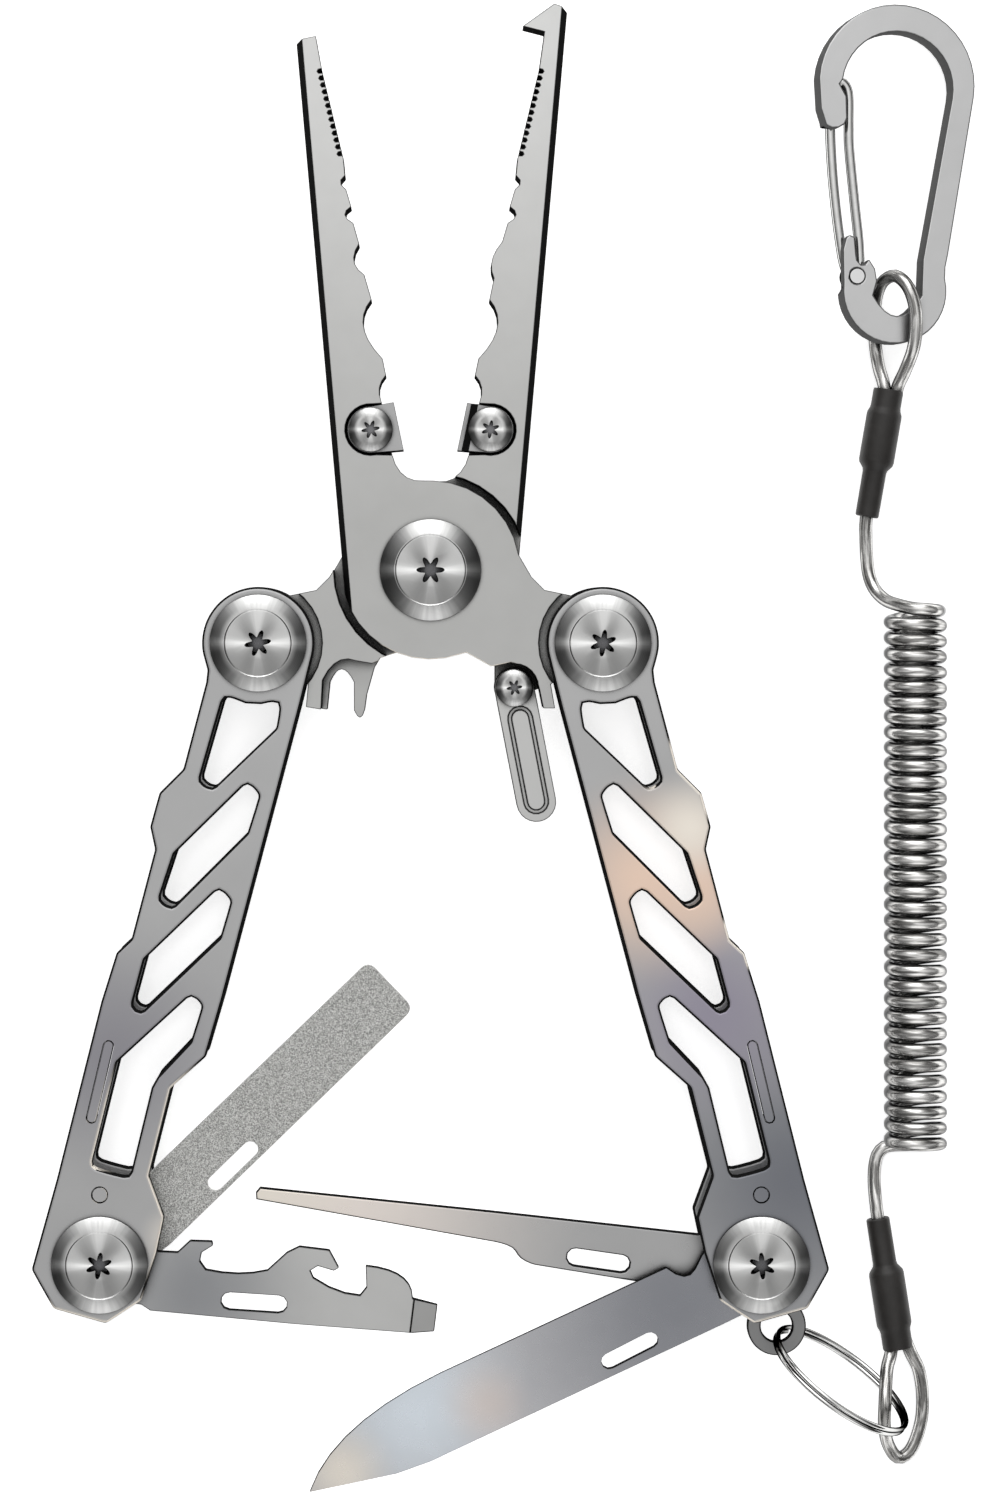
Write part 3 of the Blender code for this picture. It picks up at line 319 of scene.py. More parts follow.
def steel(name, face, roughness, wall_shade=WALL_SHADE, painted_light_tints=(), painted_glints=()):
    """Satin steel: face colour, painted light on the flats, painted shade on walls and in crevices,
    painted edge glints.
    """
    tree, shader = new_material(name)
    place = add_node(tree, "ShaderNodeTexCoord")
    position, normal = place.outputs["Object"], place.outputs["Normal"]
    axes = add_node(tree, "ShaderNodeSeparateXYZ", {"Vector": normal})
    up = maths(tree, "ABSOLUTE", axes.outputs["Z"])
    mottle = noise(tree, position, 90.0)
    low = tuple(c * 0.93 for c in face)
    high = tuple(min(1.0, c * 1.07) for c in face)
    colour = blended(tree, mottle, low, high)
    # painted light: highlights, reflections and shade blended into the flats near given places, with
    # some tempering colour on the right handle
    for centre, reach, hue, share in painted_light_tints:
        apart = distance(tree, position, centre)
        colour = blended(tree, spread(tree, apart, reach * MM, 0.0, 0.0, share), colour, hue)
    # painted shade: steep walls and rounded edges drawn near black and matte, standing in for dark
    # reflections
    steep = spread(tree, up, FLAT_ABOVE, STEEP_BELOW)
    colour = blended(tree, steep, colour, (wall_shade,) * 3)
    # painted shade in crevices and gaps, where near neighbours crowd the surface
    colour = blended(tree, spread(tree, openness(tree), 0.3, 0.85), (wall_shade,) * 3, colour)
    # painted highlights: cream on edges that face a given way near given places
    for centre, reach, heading in painted_glints:
        facing = add_node(tree, "ShaderNodeVectorMath", {0: normal, 1: Vector(heading).normalized()},
                          operation="DOT_PRODUCT").outputs["Value"]
        lit = maths(tree, "MULTIPLY", spread(tree, facing, 0.15, 0.25), spread(tree, facing, 0.85, 0.7))
        near = spread(tree, distance(tree, position, centre), reach * MM, reach * 0.7 * MM)
        colour = blended(tree, maths(tree, "MULTIPLY", lit, near), colour, PAINTED_HIGHLIGHT_CREAM)
    fine = noise(tree, position, 5200.0, 2.0)
    rough = spread(tree, noise(tree, position, 400.0), 0.3, 0.7, roughness - 0.03, roughness + 0.03)
    rough = maths(tree, "ADD", rough, maths(tree, "MULTIPLY", steep, 0.3))
    bump = add_node(tree, "ShaderNodeBump", {"Height": fine, "Strength": 0.06, "Distance": 0.00004})
    tree.links.new(colour, shader.inputs["Base Color"])
    tree.links.new(rough, shader.inputs["Roughness"])
    tree.links.new(bump.outputs["Normal"], shader.inputs["Normal"])
    tree.links.new(maths(tree, "SUBTRACT", 1.0, steep), shader.inputs["Metallic"])
    shader.inputs["Specular IOR Level"].default_value = 0.0
    return bpy.data.materials[name]


def flattened(tree, axes):
    """A position with its height left out."""
    level = add_node(tree, "ShaderNodeCombineXYZ", {"X": axes.outputs["X"], "Y": axes.outputs["Y"]})
    return level.outputs[0]


def painted_lobes(tree, fan, *terms):
    """Painted highlight that fans out from an axis: the sum of (shape, sharpness, share) terms."""
    total = 0.0
    for shape, sharpness, share in terms:
        lobe = maths(tree, "POWER", shape, sharpness)
        total = maths(tree, "ADD", total, maths(tree, "MULTIPLY", lobe, share))
    return spread(tree, maths(tree, "MULTIPLY", total, fan), 0.0, 1.0, smooth=False)


def turned_steel_painted_streaks():
    """Lathe-turned steel: fine rings round the piece's own axis, and painted highlight streaks that fan
    out from it over painted shade.
    """
    tree, shader = new_material("turned_face_painted_streaks")
    place = add_node(tree, "ShaderNodeTexCoord")
    axes = add_node(tree, "ShaderNodeSeparateXYZ", {"Vector": place.outputs["Object"]})
    across = maths(tree, "SQRT", maths(tree, "ADD", maths(tree, "POWER", axes.outputs["X"], 2.0),
                                       maths(tree, "POWER", axes.outputs["Y"], 2.0)))
    rings = add_node(tree, "ShaderNodeCombineXYZ", {"X": across})
    lines = noise(tree, rings.outputs[0], 9000.0, 4.0)
    spoke = add_node(tree, "ShaderNodeVectorMath", {0: flattened(tree, axes)}, operation="NORMALIZE")
    fan = spread(tree, noise(tree, spoke.outputs[0], 9.0, 4.0), 0.3, 0.7, 0.75, 1.0)
    turn = maths(tree, "ARCTAN2", axes.outputs["Y"], axes.outputs["X"])
    tall = maths(tree, "ABSOLUTE", maths(tree, "SINE", turn))
    flat = maths(tree, "ABSOLUTE", maths(tree, "COSINE", turn))
    up = add_node(tree, "ShaderNodeSeparateXYZ", {"Vector": place.outputs["Normal"]}).outputs["Z"]
    sloped = spread(tree, up, 0.98, 0.94)
    # painted highlight: bright streaks by angle round the axis on the disc and rim; the rim's dark
    # ground is painted shade
    disc = painted_lobes(tree, fan, (tall, 34.0, 1.0), (tall, 5.0, 0.3), (flat, 70.0, 0.8))
    cone = painted_lobes(tree, fan, (tall, 6.0, 1.1), (flat, 120.0, 0.5))
    disc_colour = blended(tree, disc, (0.50, 0.50, 0.495), (1.0, 1.0, 0.99))
    cone_colour = blended(tree, cone, (0.09, 0.09, 0.09), (1.0, 1.0, 0.99))
    colour = blended(tree, sloped, disc_colour, cone_colour)
    colour = blended(tree, maths(tree, "MULTIPLY", lines, 0.2), colour, (0.62, 0.62, 0.61))
    bump = add_node(tree, "ShaderNodeBump", {"Height": lines, "Strength": 0.25, "Distance": 0.00003})
    tangent = add_node(tree, "ShaderNodeTangent", direction_type="RADIAL", axis="Z")
    tree.links.new(colour, shader.inputs["Base Color"])
    tree.links.new(bump.outputs["Normal"], shader.inputs["Normal"])
    tree.links.new(tangent.outputs[0], shader.inputs["Tangent"])
    shader.inputs["Metallic"].default_value = 1.0
    shader.inputs["Roughness"].default_value = 0.38
    shader.inputs["Anisotropic"].default_value = 1.0
    return bpy.data.materials["turned_face_painted_streaks"]


def with_shaded_flanks(tree, colour, normal, dark):
    """The colour of a round wire, with painted shade down its sides."""
    axes = add_node(tree, "ShaderNodeSeparateXYZ", {"Vector": normal})
    flank = spread(tree, maths(tree, "ABSOLUTE", axes.outputs["Z"]), 0.58, 0.3)
    return blended(tree, flank, colour, (dark,) * 3)


def chrome_wire():
    """Bright plated wire with painted shade down its flanks."""
    tree, shader = new_material("chrome_wire")
    place = add_node(tree, "ShaderNodeTexCoord")
    smear = noise(tree, place.outputs["Object"], 700.0)
    colour = blended(tree, smear, (0.62, 0.62, 0.61), (0.86, 0.86, 0.85))
    # painted shade down the wire's flanks
    tree.links.new(with_shaded_flanks(tree, colour, place.outputs["Normal"], 0.02), shader.inputs["Base Color"])
    tree.links.new(spread(tree, smear, 0.3, 0.7, 0.08, 0.2), shader.inputs["Roughness"])
    shader.inputs["Metallic"].default_value = 1.0
    shader.inputs["Specular Tint"].default_value = (0.05, 0.05, 0.05, 1.0)
    return bpy.data.materials["chrome_wire"]


def coated_wire():
    """Steel wire under a clear glossy coat, with faint lengthwise streaks and painted shade on its
    flanks and in crevices.
    """
    tree, shader = new_material("clear_coated_wire")
    along = add_node(tree, "ShaderNodeAttribute", attribute_name="along").outputs["Fac"]
    around = add_node(tree, "ShaderNodeAttribute", attribute_name="around").outputs["Fac"]
    spot = add_node(tree, "ShaderNodeCombineXYZ", {
        "X": maths(tree, "MULTIPLY", along, 0.16),
        "Y": maths(tree, "MULTIPLY", maths(tree, "COSINE", around), 1.3),
        "Z": maths(tree, "MULTIPLY", maths(tree, "SINE", around), 1.3)})
    streak = noise(tree, spot.outputs[0], 1.5, 3.0)
    colour = blended(tree, spread(tree, streak, 0.4, 0.58), (0.24, 0.235, 0.225), (0.82, 0.81, 0.79))
    normal = add_node(tree, "ShaderNodeTexCoord").outputs["Normal"]
    # painted shade down the cord's flanks
    colour = with_shaded_flanks(tree, colour, normal, 0.015)
    # painted shade where the wire runs close to other parts
    colour = blended(tree, spread(tree, openness(tree), 0.4, 0.85), (0.01, 0.01, 0.01), colour)
    tree.links.new(colour, shader.inputs["Base Color"])
    shader.inputs["Metallic"].default_value = 0.75
    shader.inputs["Roughness"].default_value = 0.22
    shader.inputs["Specular Tint"].default_value = (0.2, 0.2, 0.2, 1.0)
    shader.inputs["Coat Weight"].default_value = 0.6
    shader.inputs["Coat Roughness"].default_value = 0.05
    return bpy.data.materials["clear_coated_wire"]


def heat_shrink():
    tree, shader = new_material("black_heat_shrink")
    place = add_node(tree, "ShaderNodeTexCoord").outputs["Object"]
    wrinkle = noise(tree, place, 500.0, 4.0)
    colour = blended(tree, wrinkle, (0.010, 0.009, 0.008), (0.028, 0.025, 0.023))
    bump = add_node(tree, "ShaderNodeBump", {"Height": wrinkle, "Strength": 0.35, "Distance": 0.0002})
    tree.links.new(colour, shader.inputs["Base Color"])
    tree.links.new(bump.outputs["Normal"], shader.inputs["Normal"])
    shader.inputs["Roughness"].default_value = 0.48
    return bpy.data.materials["black_heat_shrink"]


def grit():
    """Steel coated with fine abrasive grains."""
    tree, shader = new_material("file_grit")
    place = add_node(tree, "ShaderNodeTexCoord").outputs["Object"]
    cells = add_node(tree, "ShaderNodeTexVoronoi", {"Vector": place, "Scale": 7000.0})
    speck = noise(tree, place, 6000.0, 3.0)
    colour = blended(tree, spread(tree, speck, 0.3, 0.7), (0.25, 0.25, 0.24), (0.78, 0.78, 0.76))
    bump = add_node(tree, "ShaderNodeBump", {"Height": cells.outputs["Distance"], "Strength": 0.45,
                                             "Distance": 0.0001})
    tree.links.new(colour, shader.inputs["Base Color"])
    tree.links.new(bump.outputs["Normal"], shader.inputs["Normal"])
    shader.inputs["Metallic"].default_value = 0.85
    shader.inputs["Roughness"].default_value = 0.5
    return bpy.data.materials["file_grit"]


# ---------------------------------------------------------------- shapes

def link(name, mesh, material, body, replaces=()):
    """A finished piece on its body, standing for the given CAD nodes."""
    mesh.name = name
    piece = bpy.data.objects.new(name, mesh)
    bpy.context.scene.collection.objects.link(piece)
    mesh.materials.append(material)
    if body:
        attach(piece, body)
    if replaces:
        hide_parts(*replaces)
    return piece


def smooth_route(points, spacing):
    """Evenly spaced points on a smooth curve through the given ones."""
    knots = [Vector(p) for p in points]
    knots = [2 * knots[0] - knots[1]] + knots + [2 * knots[-1] - knots[-2]]
    fine = []
    for a, b, c, d in zip(knots, knots[1:], knots[2:], knots[3:]):
        for k in range(ROUTE_PARTS):
            t = k / ROUTE_PARTS
            fine.append(0.5 * (2 * b + (c - a) * t + (2 * a - 5 * b + 4 * c - d) * t * t
                               + (3 * b - a - 3 * c + d) * t ** 3))
    fine.append(knots[-2])
    reach = [0.0]
    for a, b in zip(fine, fine[1:]):
        reach.append(reach[-1] + (b - a).length)
    count = max(2, round(reach[-1] / spacing))
    result = []
    k = 0
    for i in range(count + 1):
        target = reach[-1] * i / count
        while k < len(fine) - 2 and reach[k + 1] < target:
            k += 1
        share = (target - reach[k]) / (reach[k + 1] - reach[k])
        result.append(fine[k].lerp(fine[k + 1], min(1.0, share)))
    return result


def swept(points, diameter, sides=16):
    """A round bar along a line of points, with where each vertex lies along and around it."""
    last = len(points) - 1
    side = Vector((0, 0, 1))
    work = bmesh.new()
    along_layer = work.verts.layers.float.new("along")
    around_layer = work.verts.layers.float.new("around")
    rings = []
    travelled = 0.0
    for i, point in enumerate(points):
        before = points[max(i - 1, 0)]
        heading = (points[min(i + 1, last)] - before).normalized()
        side = (side - heading * side.dot(heading)).normalized()
        other = heading.cross(side)
        travelled += (point - before).length
        ring = []
        for k in range(sides):
            angle = math.tau * k / sides
            spoke = side * math.cos(angle) + other * math.sin(angle)
            vert = work.verts.new((point + spoke * diameter / 2) * MM)
            vert[along_layer] = travelled
            vert[around_layer] = angle
            ring.append(vert)
        rings.append(ring)
    for a, b in zip(rings, rings[1:]):
        for k in range(sides):
            j = (k + 1) % sides
            work.faces.new((a[k], a[j], b[j], b[k]))
    work.faces.new(rings[0][::-1])
    work.faces.new(rings[-1])
    return finished(work)


def finished(work):
    """The bmesh as a smooth-shaded mesh with its sharp edges kept."""
    bmesh.ops.recalc_face_normals(work, faces=work.faces)
    mesh = bpy.data.meshes.new("piece")
    work.to_mesh(mesh)
    work.free()
    mesh.shade_smooth()
    mesh.set_sharp_from_angle(angle=SHARP)
    return mesh


def turned(profile, steps=96):
    """A turned piece on the Z axis, from (radius, height) points.

    Its ends are flat, unless the profile comes back to where it starts.
    """
    work = bmesh.new()
    angles = [i * math.tau / steps for i in range(steps)]
    rings = [[work.verts.new((radius * math.cos(angle) * MM, radius * math.sin(angle) * MM, height * MM))
              for angle in angles] for radius, height in profile]
    for a, b in zip(rings, rings[1:]):
        for i in range(steps):
            j = (i + 1) % steps
            work.faces.new((a[i], a[j], b[j], b[i]))
    if profile[0] != profile[-1]:
        work.faces.new(rings[0][::-1])
        work.faces.new(rings[-1])
    else:
        bmesh.ops.remove_doubles(work, verts=work.verts, dist=1e-7)
    return finished(work)


def star_prism(radius, low, high):
    """A six-lobed drive recess."""
    work = bmesh.new()
    outline = []
    for i in range(STAR_STEPS):
        angle = math.tau * i / STAR_STEPS
        reach = radius * (0.72 + 0.28 * math.cos(6 * angle))
        outline.append((reach * math.cos(angle), reach * math.sin(angle)))
    bottom = [work.verts.new((x * MM, y * MM, low * MM)) for x, y in outline]
    top = [work.verts.new((x * MM, y * MM, high * MM)) for x, y in outline]
    work.faces.new(bottom[::-1])
    work.faces.new(top)
    for i in range(STAR_STEPS):
        j = (i + 1) % STAR_STEPS
        work.faces.new((bottom[i], bottom[j], top[j], top[i]))
    return finished(work)


def carved(mesh, cutter):
    """The mesh with the cutter's shape taken out."""
    base = bpy.data.objects.new("base", mesh)
    tool = bpy.data.objects.new("cutter", cutter)
    for thing in (base, tool):
        bpy.context.scene.collection.objects.link(thing)
    modifier = base.modifiers.new("carve", "BOOLEAN")
    modifier.operation = "DIFFERENCE"
    modifier.solver = "EXACT"
    modifier.object = tool
    modifier.material_mode = "INDEX"
    cutter.polygons.foreach_set("material_index", [1] * len(cutter.polygons))
    graph = bpy.context.evaluated_depsgraph_get()
    result = bpy.data.meshes.new_from_object(base.evaluated_get(graph))
    bpy.data.objects.remove(base)
    bpy.data.objects.remove(tool)
    result.set_sharp_from_angle(angle=SHARP)
    return result


# ---------------------------------------------------------------- lanyard

def coil_points():
    """The coil, from its lower right to its upper right; it climbs mostly behind."""
    steps = round(COIL_TURNS * COIL_STEPS)
    pitch = (COIL_ENDS[1] - COIL_ENDS[0]) / COIL_TURNS
    points = []
    for i in range(steps + 1):
        turn = COIL_TURNS * i / steps
        angle = math.radians(COIL_START) + math.tau * turn
        climb = turn + COIL_LEVEL * math.cos(angle) / math.tau
        points.append(Vector((COIL_X + COIL_RADIUS * math.cos(angle), COIL_ENDS[0] + pitch * climb,
                              COIL_HEIGHT + COIL_RADIUS * math.sin(angle))))
    return points


def lanyard_points():
    """The whole cord: round the ring, up through the coil and round the carabiner."""
    coil = coil_points()[1:-1]
    lower = smooth_route([*BOTTOM_LOOP, *BOTTOM_LEAD, coil[0]], ROUTE_STEP)[:-1]
    upper = smooth_route([coil[-1], *TOP_LEAD, *TOP_LOOP], ROUTE_STEP)[1:]
    return lower + coil + upper


def add_lanyard(looks):
    points = lanyard_points()
    cord = link("lanyard_cord", swept(points, CORD), looks["wire"], None,
                ("cord_bottom_loop", "cord_bottom_lead", "lanyard_coil", "cord_top_lead",
                 "cord_top_loop"))
    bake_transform(cord)
    sleeves = [add_sleeve("bottom", "lanyard_lower", BOTTOM_SLEEVE, looks["sleeve"]),
               add_sleeve("top", "lanyard_upper", TOP_SLEEVE[::-1], looks["sleeve"])]
    clip = [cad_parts["carabiner_body"], add_rivet(looks["rivet"]), add_gate(looks["chrome"])]


def add_sleeve(word, body, ends, material):
    """Heat-shrink over a crimp, from its loop end to its narrow lead end."""
    start, end = Vector(ends[0]), Vector(ends[1])
    length = (end - start).length
    profile = [(1.3, 0.5), (1.85, 0.1), (2.0, 0.0), (2.05, 0.3), (2.05, 2.5), (2.12, 2.9), (2.36, 3.5),
               (SLEEVE_RADIUS, 3.9), (SLEEVE_RADIUS, length - 8.4), (2.3, length - 7.9),
               (1.72, length - 7.1), (1.62, length - 6.7), (1.6, length - 0.2), (1.45, length - 0.02),
               (0.9, length - 0.3)]
    mesh = turned(profile, 48)
    lay = (end - start).to_track_quat("Z", "Y").to_matrix().to_4x4()
    wider = Matrix.Diagonal((SLEEVE_SPREAD, 1.0, 1.0, 1.0))
    mesh.transform(Matrix.Translation(start * MM) @ lay @ wider)
    return link(word + "_heat_shrink", mesh, material, body, (word + "_sleeve",))


def add_ring(material):
    """A split ring: two turns of thin wire side by side, joined by a short step."""
    start = RING_STEP * 0.6
    points = []
    for i in range(RING_STEPS + 1):
        angle = start + (720.0 - 2 * start) * i / RING_STEPS
        share = min(1.0, max(0.0, (angle - 360.0 + RING_STEP / 2) / RING_STEP))
        level = (share * share * (3 - 2 * share) - 0.5) * (RING_WIRE + 0.03)
        turn = math.radians(angle)
        points.append(Vector((RING_RADIUS * math.cos(turn), RING_RADIUS * math.sin(turn), level)))
    mesh = swept(points, RING_WIRE, 12)
    height = RING_LIFT + RING_RADIUS * math.sin(math.radians(RING_TILT))
    mesh.transform(Matrix.Translation(Vector((*RING_CENTRE, height)) * MM)
                   @ Matrix.Rotation(math.radians(RING_HEADING), 4, "Z")
                   @ Matrix.Rotation(math.radians(-RING_TILT), 4, "X")
                   @ Matrix.Rotation(math.radians(RING_ENDS), 4, "Z"))
    link("split_ring_wire", mesh, material, "lanyard_lower", ("split_ring",))


def pin_place():
    """The gate pin, measured from the centre of the carabiner's lower bend."""
    return Vector((GATE_PIN[0] - EYE[0], GATE_PIN[1] - EYE[1], 0.0)) * MM


def carabiner_place():
    edge_height = CARABINER_REACH * math.sin(math.radians(CARABINER_TILT)) + CARABINER_LIFT
    return (Matrix.Translation(Vector((*EYE, edge_height)) * MM)
            @ Matrix.Rotation(math.radians(CARABINER_TILT), 4, "Y"))


def add_rivet(material):
    """The gate's rivet, with a head that lies flush in the carabiner's face."""
    mesh = turned([(0.9, 0.1), (0.9, 2.3), (1.12, 2.4), (1.12, 3.95), (1.06, 4.0)], 40)
    mesh.transform(carabiner_place() @ Matrix.Translation(pin_place()))
    return link("gate_rivet_head", mesh, material, "carabiner", ("gate_rivet",))


def add_gate(material):
    """The carabiner's wire gate, in the tilted plane of the carabiner."""
    route = smooth_route([(x - EYE[0], y - EYE[1], GATE_LEVEL) for x, y in GATE_ROUTE], 0.5)
    wire = swept(route, GATE_WIRE)
    eye = turned([(1.25, 0.3), (1.35, 0.2), (1.7, 0.2), (1.85, 0.4), (1.85, 1.6), (1.7, 1.8),
                  (1.35, 1.8), (1.25, 1.7), (1.25, 0.3)], 40)
    eye.transform(Matrix.Translation(pin_place()))
    work = bmesh.new()
    work.from_mesh(wire)
    work.from_mesh(eye)
    bmesh.ops.remove_doubles(work, verts=work.verts, dist=1e-6)
    mesh = finished(work)
    mesh.transform(carabiner_place())
    return link("gate_wire", mesh, material, "carabiner_gate", ("carabiner_gate",))


# ---------------------------------------------------------------- screws

def wide_head(radius, low, high, shank, shank_end):
    """A pivot screw: a conical rim round a flat disc, with a drive recess."""
    inner = radius * 0.71
    profile = [(shank, shank_end), (shank, low), (radius - 0.15, low), (radius, low + 0.1),
               (radius, low + 0.28), (radius - 0.12, low + 0.36), (inner + 0.1, high - 0.03),
               (inner - 0.05, high), (inner - 0.2, high - 0.08), (inner - 0.35, high - 0.03)]
    return carved(turned(profile), star_prism(radius * 0.28, high - 1.1, high + 1.0))


def small_head(radius, low, high, shank, shank_end):
    """A small domed screw with a drive recess."""
    profile = [(shank, shank_end), (shank, low), (radius - 0.1, low), (radius, low + 0.1),
               (radius, high - 0.4), (radius - 0.1, high - 0.3), (radius * 0.62, high - 0.02),
               (radius * 0.58, high)]
    return carved(turned(profile, 64), star_prism(radius * 0.42, high - 0.5, high + 1.0))


def lower_pivot(side):
    """Where a handle's lower pivot is."""
    lean = math.radians(HANDLE_TILT)
    return (side * (HANDLE_PIVOT[0] + HANDLE_LENGTH * math.sin(lean)),
            HANDLE_PIVOT[1] - HANDLE_LENGTH * math.cos(lean))


def add_screws(material, recess):
    """The screws in view; each star recess has its own turn, in degrees."""
    screws = [("main_pivot", (0.0, 0.0), "front_jaw", MAIN_SCREW, 0)]
    for side, word, jaw, turn in ((-1, "left", "front_jaw", 10), (1, "right", "back_jaw", 22)):
        upper = (side * HANDLE_PIVOT[0], HANDLE_PIVOT[1])
        handle = word + "_handle"
        screws.append((word + "_upper_pivot", upper, handle, PIVOT_SCREW, turn))
        screws.append((word + "_lower_pivot", lower_pivot(side), handle, PIVOT_SCREW, turn + 12))
        cutter = (-side * CUTTER_PLACE[0], CUTTER_PLACE[1])
        screws.append((word + "_cutter", cutter, jaw, CUTTER_SCREW, turn))
    screws.append(("lock_lever", LEVER_PIVOT, "front_jaw", LEVER_SCREW, 8))
    for word, place, body, sizes, turn in screws:
        mesh = wide_head(*sizes) if sizes[0] > WIDE_HEAD else small_head(*sizes)
        mesh.transform(Matrix.Rotation(math.radians(turn), 4, "Z"))
        piece = link(word + "_turned_screw", mesh, material, None)
        # the recess faces take the darker steel: painted shade inside the drive recess
        mesh.materials.append(recess)
        piece.location = Vector((*place, 0)) * MM
        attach(piece, body)
        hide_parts(word + "_screw")


# ---------------------------------------------------------------- flat parts

def flat_outlines(node):
    """The closed outlines of a plate's rear face in millimetres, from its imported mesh."""
    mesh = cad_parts[node].data
    level = min(v.co.z for v in mesh.vertices)
    spots = {}
    sides = set()
    for face in mesh.polygons:
        if face.normal.z > -0.99 or abs(face.center.z - level) > 1e-5:
            continue
        keys = []
        for index in face.vertices:
            place = mesh.vertices[index].co
            key = (round(place.x * 1e6), round(place.y * 1e6))
            spots[key] = Vector((place.x / MM, place.y / MM))
            keys.append(key)
        for a, b in zip(keys, keys[1:] + keys[:1]):
            if (b, a) in sides:
                sides.remove((b, a))
            else:
                sides.add((a, b))
    following = dict(sides)
    outlines = []
    while following:
        first, key = following.popitem()
        loop = [spots[first]]
        while key != first:
            loop.append(spots[key])
            key = following.pop(key)
        outlines.append(refined(loop))
    return outlines


def refined(loop):
    """The outline with extra points where it runs in a smooth bend."""
    count = len(loop)
    bends = []
    for i, point in enumerate(loop):
        before = point - loop[i - 1]
        after = loop[(i + 1) % count] - point
        bends.append(abs(before.angle_signed(after)))
    gentle = [math.radians(0.5) < bend < SHARP for bend in bends]
    result = []
    for i, point in enumerate(loop):
        j = (i + 1) % count
        result.append(point)
        if not (gentle[i] or gentle[j]) or (point - loop[j]).length > 6.0:
            continue
        ahead = loop[j] - point
        start = (loop[j] - loop[i - 1]).normalized() * ahead.length if gentle[i] else ahead
        end = (loop[(j + 1) % count] - point).normalized() * ahead.length if gentle[j] else ahead
        for t in (0.33, 0.67):
            result.append(point * (2 * t ** 3 - 3 * t * t + 1) + start * (t ** 3 - 2 * t * t + t)
                          + loop[j] * (3 * t * t - 2 * t ** 3) + end * (t ** 3 - t * t))
    return result


def slab(outlines, half, ease=0.0):
    """A flat piece between -half and +half, in metres, with its edges rounded over."""
    curve = bpy.data.curves.new("slab", "CURVE")
    curve.dimensions = "2D"
    curve.fill_mode = "BOTH"
    for outline in outlines:
        spline = curve.splines.new("POLY")
        spline.points.add(len(outline) - 1)
        for place, point in zip(spline.points, outline):
            place.co = (point.x * MM, point.y * MM, 0.0, 1.0)
        spline.use_cyclic_u = True
    curve.bevel_depth = ease * MM
    curve.bevel_resolution = 3
    curve.offset = -ease * MM
    curve.extrude = half - ease * MM
    shape = bpy.data.objects.new("slab", curve)
    bpy.context.scene.collection.objects.link(shape)
    graph = bpy.context.evaluated_depsgraph_get()
    mesh = bpy.data.meshes.new_from_object(shape.evaluated_get(graph))
    bpy.data.objects.remove(shape)
    work = bmesh.new()
    work.from_mesh(mesh)
    bmesh.ops.remove_doubles(work, verts=work.verts, dist=1e-6)
    return finished(work)


def enclosed(outline):
    """The area inside an outline, in square millimetres."""
    return abs(sum(a.cross(b) for a, b in zip(outline, outline[1:] + outline[:1]))) / 2


def reface(node, body, material, ease, sharp_below=0.0):
    """A plate rebuilt from its own outline with rounded edges; its small holes stay sharp."""
    low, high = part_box(node)
    half = (high.z - low.z) / 2
    outlines = flat_outlines(node)
    small = [outline for outline in outlines if enclosed(outline) < sharp_below]
    mesh = slab([outline for outline in outlines if outline not in small], half, ease)
    for outline in small:
        mesh = carved(mesh, slab([outline], half * 1.2))
    mesh.transform(Matrix.Translation((0, 0, (low.z + high.z) / 2)))
    mesh.set_sharp_from_angle(angle=SHARP_ON_PLATE)
    mesh.materials.clear()
    link(node + "_eased", mesh, material, body, (node,))


# ---------------------------------------------------------------- carried-over parts

def ease_edges(node, width):
    """Merges flat facets of a CAD part and eases its edges, as modifiers."""
    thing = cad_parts[node]
    weld = thing.modifiers.new("weld", "WELD")
    weld.merge_threshold = 2e-6
    flat = thing.modifiers.new("flat", "DECIMATE")
    flat.decimate_type = "DISSOLVE"
    flat.angle_limit = math.radians(0.8)
    bevel = thing.modifiers.new("ease", "BEVEL")
    bevel.width = width * MM
    bevel.segments = 3
    bevel.limit_method = "ANGLE"
    bevel.angle_limit = math.radians(38)
    bevel.use_clamp_overlap = False


def paint(node, material):
    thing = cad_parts[node]
    if not thing.material_slots:
        thing.data.materials.append(None)
    for slot in thing.material_slots:
        slot.link = "OBJECT"
        slot.material = material


def finish_cad(looks):
    """Gives each carried-over part its look and the width of its eased edges."""
    shown = {
        "front_jaw": ("jaw", JAW_EASE), "back_jaw": ("jaw", JAW_EASE), "lock_lever": ("lever", 0.15),
        "left_cutter": ("carbide", 0.08), "right_cutter": ("carbide", 0.08),
        "opener": ("blade", 0.15), "knife": ("knife", 0.06), "carabiner_body": ("carabiner", 0.2),
        "main_pivot_nut": ("rear", 0.1),
    }
    for word in ("left", "right"):
        for plate, look in (("front_plate", "handle_" + word), ("rear_plate", "behind")):
            reface(f"{word}_{plate}", word + "_handle", looks[look], PLATE_EASE,
                   SMALL_HOLE)
        for level in ("upper", "lower"):
            shown[f"{word}_spacer_{level}"] = ("dark", 0.1)
            shown[f"{word}_{level}_pivot_nut"] = ("rear", 0.1)
        shown[word + "_key_bar"] = ("handle_" + word, 0.08)
        shown[word + "_plate_pin"] = ("handle_" + word, 0.06)
    reface("file", "file", looks["grit"], 0.1)
    reface("awl", "awl", looks["awl"], TOOL_EASE)
    reface("lanyard_tab", "lanyard_tab", looks["tab"], TOOL_EASE)
    for washer in ("left_washer_rear", "left_washer_middle", "right_washer_front"):
        shown[washer] = ("dark", 0.0)
    for node, (look, width) in shown.items():
        if width:
            ease_edges(node, width)
        paint(node, looks[look])


# ---------------------------------------------------------------- making

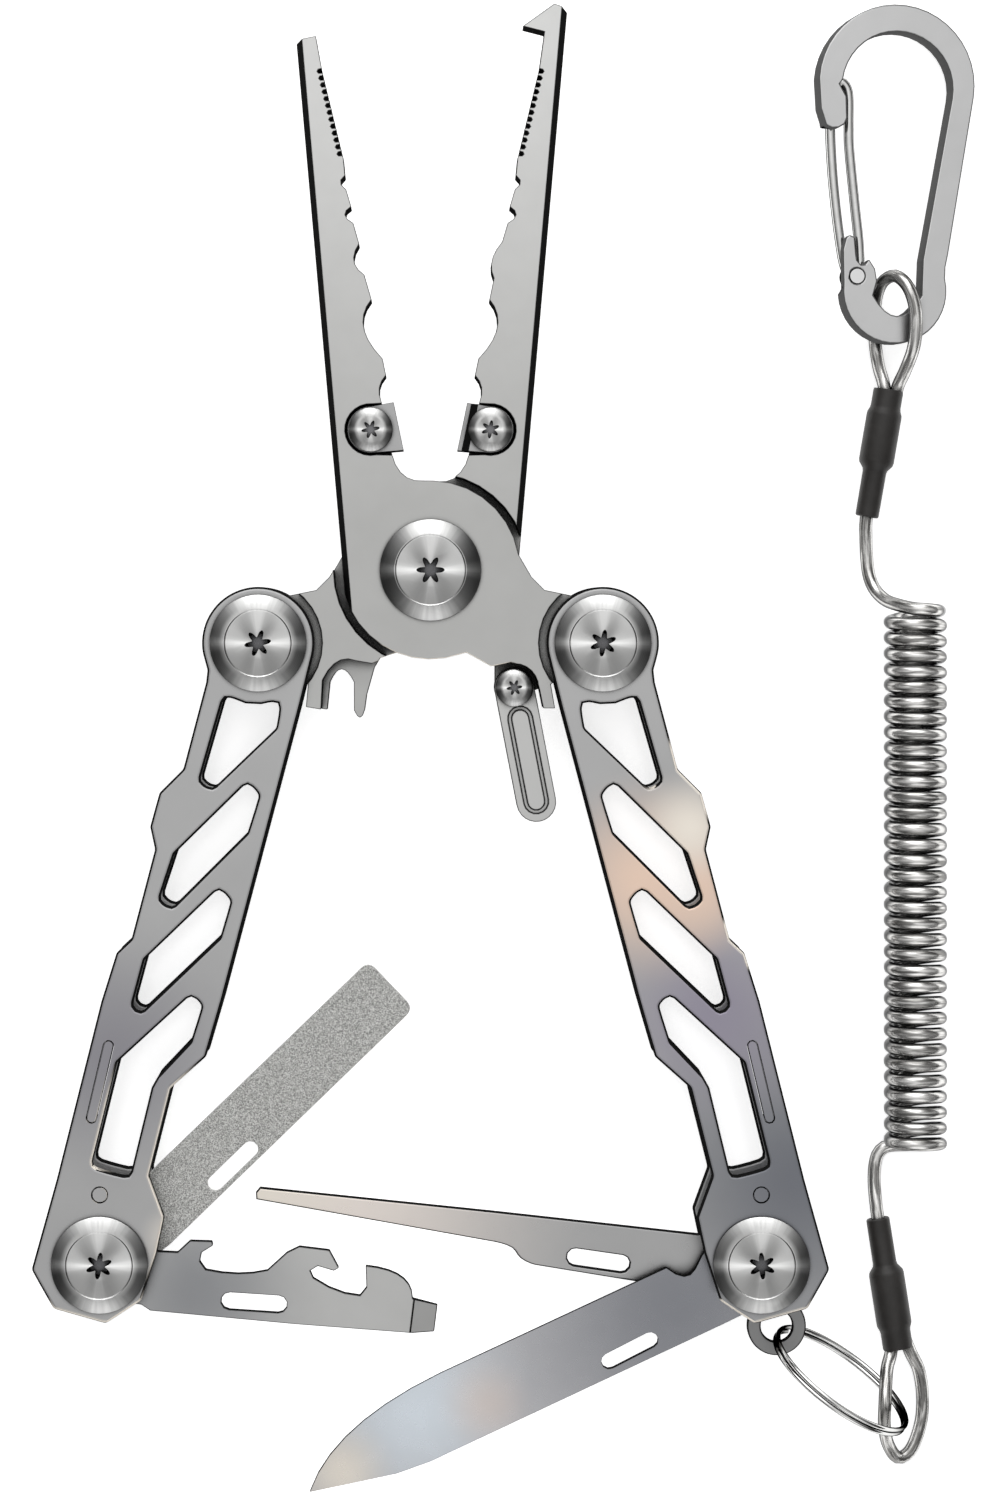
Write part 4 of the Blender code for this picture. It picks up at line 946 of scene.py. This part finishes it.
add_camera()
light_dome()
add_floor()
bpy.context.scene.view_settings.view_transform = "Standard"

looks = {
    "jaw": steel("jaw_satin", (0.52, 0.52, 0.51), 0.36, painted_light_tints=JAW_PAINTED_SHEEN, painted_glints=JAW_PAINTED_GLINTS),
    "lever": steel("lever_satin", (0.62, 0.62, 0.61), 0.34),
    "handle_left": steel("left_handle_satin", (0.50, 0.50, 0.50), 0.34, painted_light_tints=LEFT_PAINTED_LIGHT,
                         painted_glints=LEFT_PAINTED_GLINTS),
    "handle_right": steel("right_handle_satin", (0.50, 0.50, 0.50), 0.32, painted_light_tints=RIGHT_TEMPER_AND_PAINTED_LIGHT,
                          painted_glints=RIGHT_PAINTED_GLINTS),
    "blade": steel("tool_satin", (0.62, 0.62, 0.61), 0.32, painted_light_tints=OPENER_PAINTED_SHADE),
    "awl": steel("awl_satin", (0.50, 0.50, 0.50), 0.3, painted_light_tints=AWL_PAINTED_HIGHLIGHT),
    "knife": steel("knife_satin", (0.62, 0.62, 0.64), 0.26, painted_light_tints=KNIFE_PAINTED_LIGHT),
    # painted shade: a darker copy of the handle steel for the plates that lie behind
    "behind": steel("rear_plate_shaded_satin", (0.40, 0.40, 0.40), 0.4),
    # painted shade: a darker copy of the steel for spacers and washers between parts and for drive
    # recesses
    "dark": steel("dark_satin", (0.26, 0.26, 0.27), 0.38),
    "tab": steel("tab_satin", (0.30, 0.30, 0.30), 0.38),
    "rivet": steel("rivet_satin", (0.86, 0.86, 0.86), 0.3),
    "rear": steel("nut_satin", (0.60, 0.60, 0.59), 0.3),
    "carbide": steel("ground_carbide", (0.46, 0.46, 0.46), 0.4),
    "carabiner": steel("carabiner_satin", (0.66, 0.66, 0.66), 0.34, wall_shade=0.12),
    "chrome": chrome_wire(),
    "screw": turned_steel_painted_streaks(),
    "wire": coated_wire(),
    "sleeve": heat_shrink(),
    "grit": grit(),
}
add_lanyard(looks)
add_ring(looks["chrome"])
add_screws(looks["screw"], looks["dark"])
finish_cad(looks)
